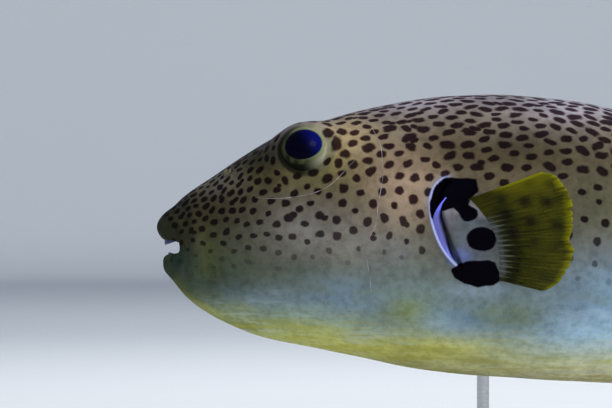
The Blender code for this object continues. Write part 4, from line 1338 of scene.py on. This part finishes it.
def plain_material(name, colour, second, scale, roughness, **settings):
    """Two close colours mottled together, with a fine bump."""
    nodes = Nodes(name)
    place = nodes.place()
    mottled = nodes.layers(colour, (nodes.step(nodes.noise(place, scale, 3.0), 0.35, 0.68), second))
    normal = nodes.bump((nodes.noise(place, scale * 4, 3.0), 0.0002, 0.3))
    return nodes.finish(Base_Color=mottled, Roughness=roughness, Normal=normal, **settings)


BEAK_HALF_WIDTH, BEAK_BACK, BEAK_SEAM = 10.3, 15.0, 0.55
BEAKS = (("upper", 4.9, 1.4, 9.5), ("lower", 7.3, -3.4, -10.0))  # word, front, and height of edge and root
# How far in a plate's surface lies, and how far up from the edge to the root, round its section.
BEAK_SECTION = (
    (0.25, 0.0), (0.0, 0.12), (0.0, 0.5), (0.3, 1.0), (3.4, 1.0), (2.4, 0.5), (1.1, 0.08), (0.7, 0.0),
)  # fmt: skip


def make_beak():
    """The fused teeth: one plate in each jaw, with the middle seam of the four-toothed puffers."""
    # painted shade: the whitish enamel is painted dark blue-violet, as it looks in shade under the lips
    shaded_tones = (66, 70, 104), (50, 54, 88)
    enamel = plain_material("enamel", *shaded_tones, 160.0, 0.35, Specular_IOR_Level=0.12)
    turns = np.radians(np.linspace(-76, 76, 97))
    for word, front, edge, root in BEAKS:
        vertices = []
        for turn in turns:
            seam = BEAK_SEAM * math.exp(-((turn / 0.035) ** 2))
            low = edge + (root - edge) * (0.40 * (1 - math.cos(turn)) + 0.04 * seam)
            for inset, rise in BEAK_SECTION:
                inset += seam if inset < 0.4 else 0
                x = BEAK_BACK - (BEAK_BACK - front - inset) * math.cos(turn)
                vertices.append((x, (BEAK_HALF_WIDTH - inset) * math.sin(turn), low + (root - low) * rise))
        faces = tube_faces(len(turns), len(BEAK_SECTION))
        add_piece("beak_" + word, vertices, faces, enamel, "teeth", "teeth_" + word)


# Each fork of a nostril flap: how far up it, and its size there.
NOSTRIL_SIZE = ((-0.45, 0.9), (0.0, 1.0), (0.45, 1.2), (0.8, 1.02), (0.93, 0.75), (1.0, 0.3))


def make_nostrils():
    """Forked flaps of skin, each fork a rounded, slightly cupped lobe."""
    material = plain_material("nostril_skin", (96, 92, 62), (60, 56, 40), 300.0, 0.5)
    x, z = NOSTRIL_PLACE
    turns = np.arange(20) * 2 * math.pi / 20
    shares = np.linspace(NOSTRIL_SIZE[0][0], 1.0, 16)
    sizes = np.interp(shares, *zip(*NOSTRIL_SIZE))
    for side, word in SIDES:
        foot = Vector((x, side * side_of_body(x, z), z))
        up = Vector((0.25, side * 0.62, 0.74)).normalized()
        ahead = Vector((1, 0, 0)).cross(up).cross(up).normalized()
        wide = up.cross(ahead).normalized()
        vertices, faces = [], []
        for sign in (-1, 1):
            axis = (up * math.cos(NOSTRIL_SPLAY) + ahead * sign * math.sin(NOSTRIL_SPLAY)).normalized()
            flat = axis.cross(wide).normalized()
            faces += tube_faces(len(shares), len(turns), len(vertices))
            for share, size in zip(shares, sizes):
                middle = foot + axis * NOSTRIL_HEIGHT * share
                for turn in turns:
                    thick = 0.9 * size * math.cos(turn) + sign * 0.5 * math.sin(turn) ** 2 * max(share, 0)
                    vertices.append(middle + flat * thick + wide * 1.8 * size * math.sin(turn))
        add_piece("nostril_flap_" + word, vertices, faces, material, "skin", "nostril_" + word)


# The membrane's two edges: how far down it, then x and z.
MEMBRANE_FRONT = (
    (0, 183.4, 32.0), (0.14, 178.8, 26), (0.3, 175.6, 18), (0.5, 178.2, 8), (0.7, 182.4, -0.4),
    (0.86, 187.2, -7), (1, 191.6, -11.4),
)  # fmt: skip
MEMBRANE_BACK = (
    (0, 185.6, 32.2), (0.14, 182.2, 25.8), (0.3, 181.8, 18.6), (0.5, 184.4, 8), (0.7, 186.6, 0),
    (0.86, 189.0, -6), (1, 192.2, -10.6),
)  # fmt: skip
MEMBRANE_THICKNESS = 0.9


def membrane_material():
    """Violet, its bright blue a painted highlight down its length, and darker towards its inner edge as
    painted shade deeper in the opening.
    """
    nodes = Nodes("gill_membrane")
    down, over = nodes.attribute("down"), nodes.attribute("over")
    streak = nodes.noise(nodes.place(), (500.0, 200.0, 90.0))
    colour = nodes.layers(
        # painted highlight: bright blue, dimmer a little way down
        (104, 112, 248),
        (nodes.step(down, 0.06, 0.3), (80, 82, 158)),
        (nodes.step(down, 0.45, 0.9), (96, 104, 214)),
        # painted shade towards the inner edge, deep in the gill opening
        (nodes.step(over, 0.45, 0.85), (12, 12, 62)),
        (nodes.step(streak, 0.4, 0.7, 0.0, 0.35), (70, 66, 130)),
    )
    return nodes.finish(Base_Color=colour, Roughness=0.35, Specular_IOR_Level=0.4)


def make_gill_membranes():
    """The smooth membrane that shows in the gill opening, a strip that widens from its upper tip."""
    material = membrane_material()
    down, over = np.meshgrid(np.linspace(0, 1, 60), np.linspace(0, 1, 9), indexing="ij")
    front, back = smooth_curve(MEMBRANE_FRONT)(down), smooth_curve(MEMBRANE_BACK)(down)
    x, z = np.moveaxis(front + (back - front) * over[..., None], -1, 0)
    level = np.vectorize(side_of_body)(x, z) + lobe_rise(np.stack([x, 0 * x, z], -1))
    level -= 1.0 + 2.8 * over - 0.5 * np.sin(np.pi * over)
    for side, word in SIDES:
        faces_of = [np.stack([x, side * depth, z], -1) for depth in (level, level - MEMBRANE_THICKNESS)]
        vertices = np.concatenate(faces_of).reshape(-1, 3)
        strip = add_piece("gill_membrane_" + word, vertices, slab_faces(*x.shape), material, "skin")
        for name, field in (("down", down), ("over", over)):
            store(strip.data, name, np.tile(field.ravel(), 2))


CANALS = (
    ((65, 32), (79, 31.5), (93, 33), (106, 36.5), (114, 41.5), (120, 47.5), (128, 56)),
    ((136, 81), (139, 75), (143, 67), (144.5, 58), (144.8, 46), (143, 34), (141.5, 25), (140, 14), (136, 6.5),
     (134.5, 1), (135.5, -11), (137, -21), (138, -32)),
    ((130.5, 0.3), (134.5, 1)),
)  # fmt: skip
CANAL_STEP = 0.9
CANAL_HALF = (0.27, 0.2)  # across the skin, and up from it


def make_canals(skin):
    """The fine pale ridges of the lateral line system, laid on the skin of both sides."""
    material = plain_material("canal_skin", (156, 146, 160), (88, 78, 74), 110.0, 0.5)
    tree = BVHTree.FromObject(skin, bpy.context.evaluated_depsgraph_get())
    turns = np.arange(6) * 2 * math.pi / 6
    for side, word in SIDES:
        vertices, faces = [], []
        for path in CANALS:
            lengths = np.concatenate([[0], np.cumsum(np.linalg.norm(np.diff(path, axis=0), axis=1))])
            stops = np.linspace(0, lengths[-1], max(6, int(lengths[-1] / CANAL_STEP)))
            route = smooth_curve(np.column_stack([lengths, path]))(stops)
            faces += tube_faces(len(route), len(turns), len(vertices))
            for k, (x, z) in enumerate(route):
                beside = Vector(row_frame((x, side * 150.0, z)))
                hit, normal, _, _ = tree.ray_cast(beside, Vector((0, -side, 0)))
                normal = np.array(normal)
                ahead = route[min(k + 1, len(route) - 1)] - route[max(k - 1, 0)]
                tangent = np.array((ahead[0], 0, ahead[1]))
                tangent = tangent - normal * (tangent @ normal)
                wide = np.cross(tangent / np.linalg.norm(tangent), normal)
                sunk = 0.02 + 0.16 * max(0.0, math.sin(k * 0.37) * math.sin(k * 0.11 + 0.7))
                size = math.sin(math.pi * (k + 0.6) / (len(route) + 0.2)) ** 0.4
                size *= CANAL_HALF[0] * (0.75 + 0.25 * math.sin(k * 0.9) * math.sin(k * 0.31))
                middle = np.array(hit) / MM - ROW_PLACE - normal * sunk
                for turn in turns:
                    off = normal * CANAL_HALF[1] * math.sin(turn) + wide * size * math.cos(turn)
                    vertices.append(middle + off)
        add_piece("canals_" + word, vertices, faces, material, "skin")


# ---------------------------------------------------------------- stand, stage, light, camera


def wood_material():
    """Dark lacquered wood with a soft grain."""
    nodes = Nodes("lacquered_wood")
    place = nodes.place()
    pores = nodes.noise(place, (60.0, 900.0, 900.0))
    colour = nodes.layers(
        (46, 32, 24),
        (nodes.step(nodes.noise(place, (9.0, 90.0, 60.0), 5.0, 0.62), 0.35, 0.66), (92, 66, 46)),
        (nodes.step(pores, 0.62, 0.72, 0.0, 0.6), (26, 18, 14)),
    )
    normal = nodes.bump((pores, 0.0002, 0.3))
    return nodes.finish(Base_Color=colour, Roughness=0.42, Coat_Weight=0.5, Coat_Roughness=0.2, Normal=normal)


def steel_material():
    """Satin steel, brushed round the rods."""
    nodes = Nodes("satin_steel")
    lines = nodes.noise(nodes.place(), (80.0, 80.0, 9000.0))
    colour = nodes.layers((168, 170, 172), (lines, (206, 208, 210)))
    normal, roughness = nodes.bump((lines, 0.00005, 0.3)), nodes.step(lines, 0.3, 0.7, 0.24, 0.36)
    return nodes.finish(Base_Color=colour, Metallic=1.0, Roughness=roughness, Normal=normal)


def finish_stand():
    """Gives the stand's own solids their materials."""
    wood, steel = wood_material(), steel_material()
    for name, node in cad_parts.items():
        if name.startswith("stand_"):
            node.data.materials.clear()
            node.data.materials.append(wood if name == "stand_base" else steel)


FLOOR_FLAT, FLOOR_BEND, FLOOR_TOP = 4.6, 1.8, 3.4  # metres: flat radius, radius of the sweep, top


def floor_material():
    """Nearly white, with a greyer ring between the model and the sweep."""
    nodes = Nodes("pale_floor")
    place = nodes.place()
    away = nodes.add("VectorMath", {0: place}, operation="LENGTH").outputs["Value"]
    colour = nodes.layers(
        (238, 240, 243),
        (nodes.noise(place, 0.8), (244, 246, 248)),
        (nodes.times(nodes.step(away, 0.8, 2.2), nodes.step(away, 5.4, 4.0)), (196, 200, 206)),
    )
    return nodes.finish(Base_Color=colour, Roughness=0.85, Specular_IOR_Level=0.1)


def make_stage():
    """A pale floor that sweeps up all round, far from the model."""
    sweep = [(math.sin(q), 1 - math.cos(q)) for q in np.radians(np.arange(0, 91, 6))]
    profile = [(FLOOR_FLAT + FLOOR_BEND * out, FLOOR_BEND * up) for out, up in sweep]
    profile.append((FLOOR_FLAT + FLOOR_BEND, FLOOR_TOP))
    turns = np.arange(96) * 2 * np.pi / 96
    vertices = [(r * math.cos(q), r * math.sin(q), z) for r, z in profile for q in turns]
    faces = [face[::-1] for face in grid_faces(len(profile), len(turns), closed=True)]
    faces.append(tuple(range(len(turns))))
    add_mesh("floor", vertices, faces, floor_material())


def add_light(name, place, target, size, power, colour, glints=True):
    """Adds a round, unseen lamp, in metres and watts."""
    light = bpy.data.lights.new(name, "AREA")
    light.shape = "DISK"
    light.size = size
    light.energy = power
    light.color = colour
    made = add_object(name, light)
    made.location = place
    made.rotation_euler = (Vector(target) - Vector(place)).to_track_quat("-Z", "Y").to_euler()
    made.visible_camera = False
    made.visible_glossy = glints


def light_stage():
    """A cool, even studio with a warm key light from the front."""
    world = bpy.data.worlds.new("studio")
    world.use_nodes = True
    background = world.node_tree.nodes["Background"]
    background.inputs["Color"].default_value = (0.80, 0.88, 1.0, 1.0)
    background.inputs["Strength"].default_value = 0.5
    bpy.context.scene.world = world
    middle = (0.0, 0.0, MOUTH_HEIGHT * MM)
    add_light("key", (1.3, -1.9, 2.1), middle, 1.4, 66, (1.0, 0.97, 0.92))
    add_light("low fill", (1.6, -2.0, 0.35), middle, 1.4, 28, (0.94, 0.98, 1.0), glints=False)
    add_light("back", (0.2, 2.2, 2.2), middle, 1.6, 24, (0.95, 0.98, 1.0), glints=False)


def place_camera():
    """The photo's view: level with the fish, on its left."""
    camera = bpy.data.cameras.new("camera")
    camera.sensor_width = SENSOR_WIDTH
    camera.lens = SENSOR_WIDTH * CAMERA_DISTANCE / VIEW_WIDTH
    camera.clip_end = 100.0
    made = add_object("camera", camera)
    made.location = Vector(row_frame((VIEW_CENTRE[0], 0, VIEW_CENTRE[1]))) + Vector((0, -CAMERA_DISTANCE, 0))
    made.rotation_euler = (math.pi / 2, 0, 0)
    bpy.context.scene.camera = made
    bpy.context.scene.view_settings.view_transform = "Standard"


place_camera()
light_stage()
make_stage()
finish_stand()
body_skin, skin_vertices, spot_shade = make_skin()
make_eyes()
make_pectoral_fins(skin_vertices, spot_shade)
make_middle_fins()
make_beak()
make_nostrils()
make_gill_membranes()
make_canals(body_skin)
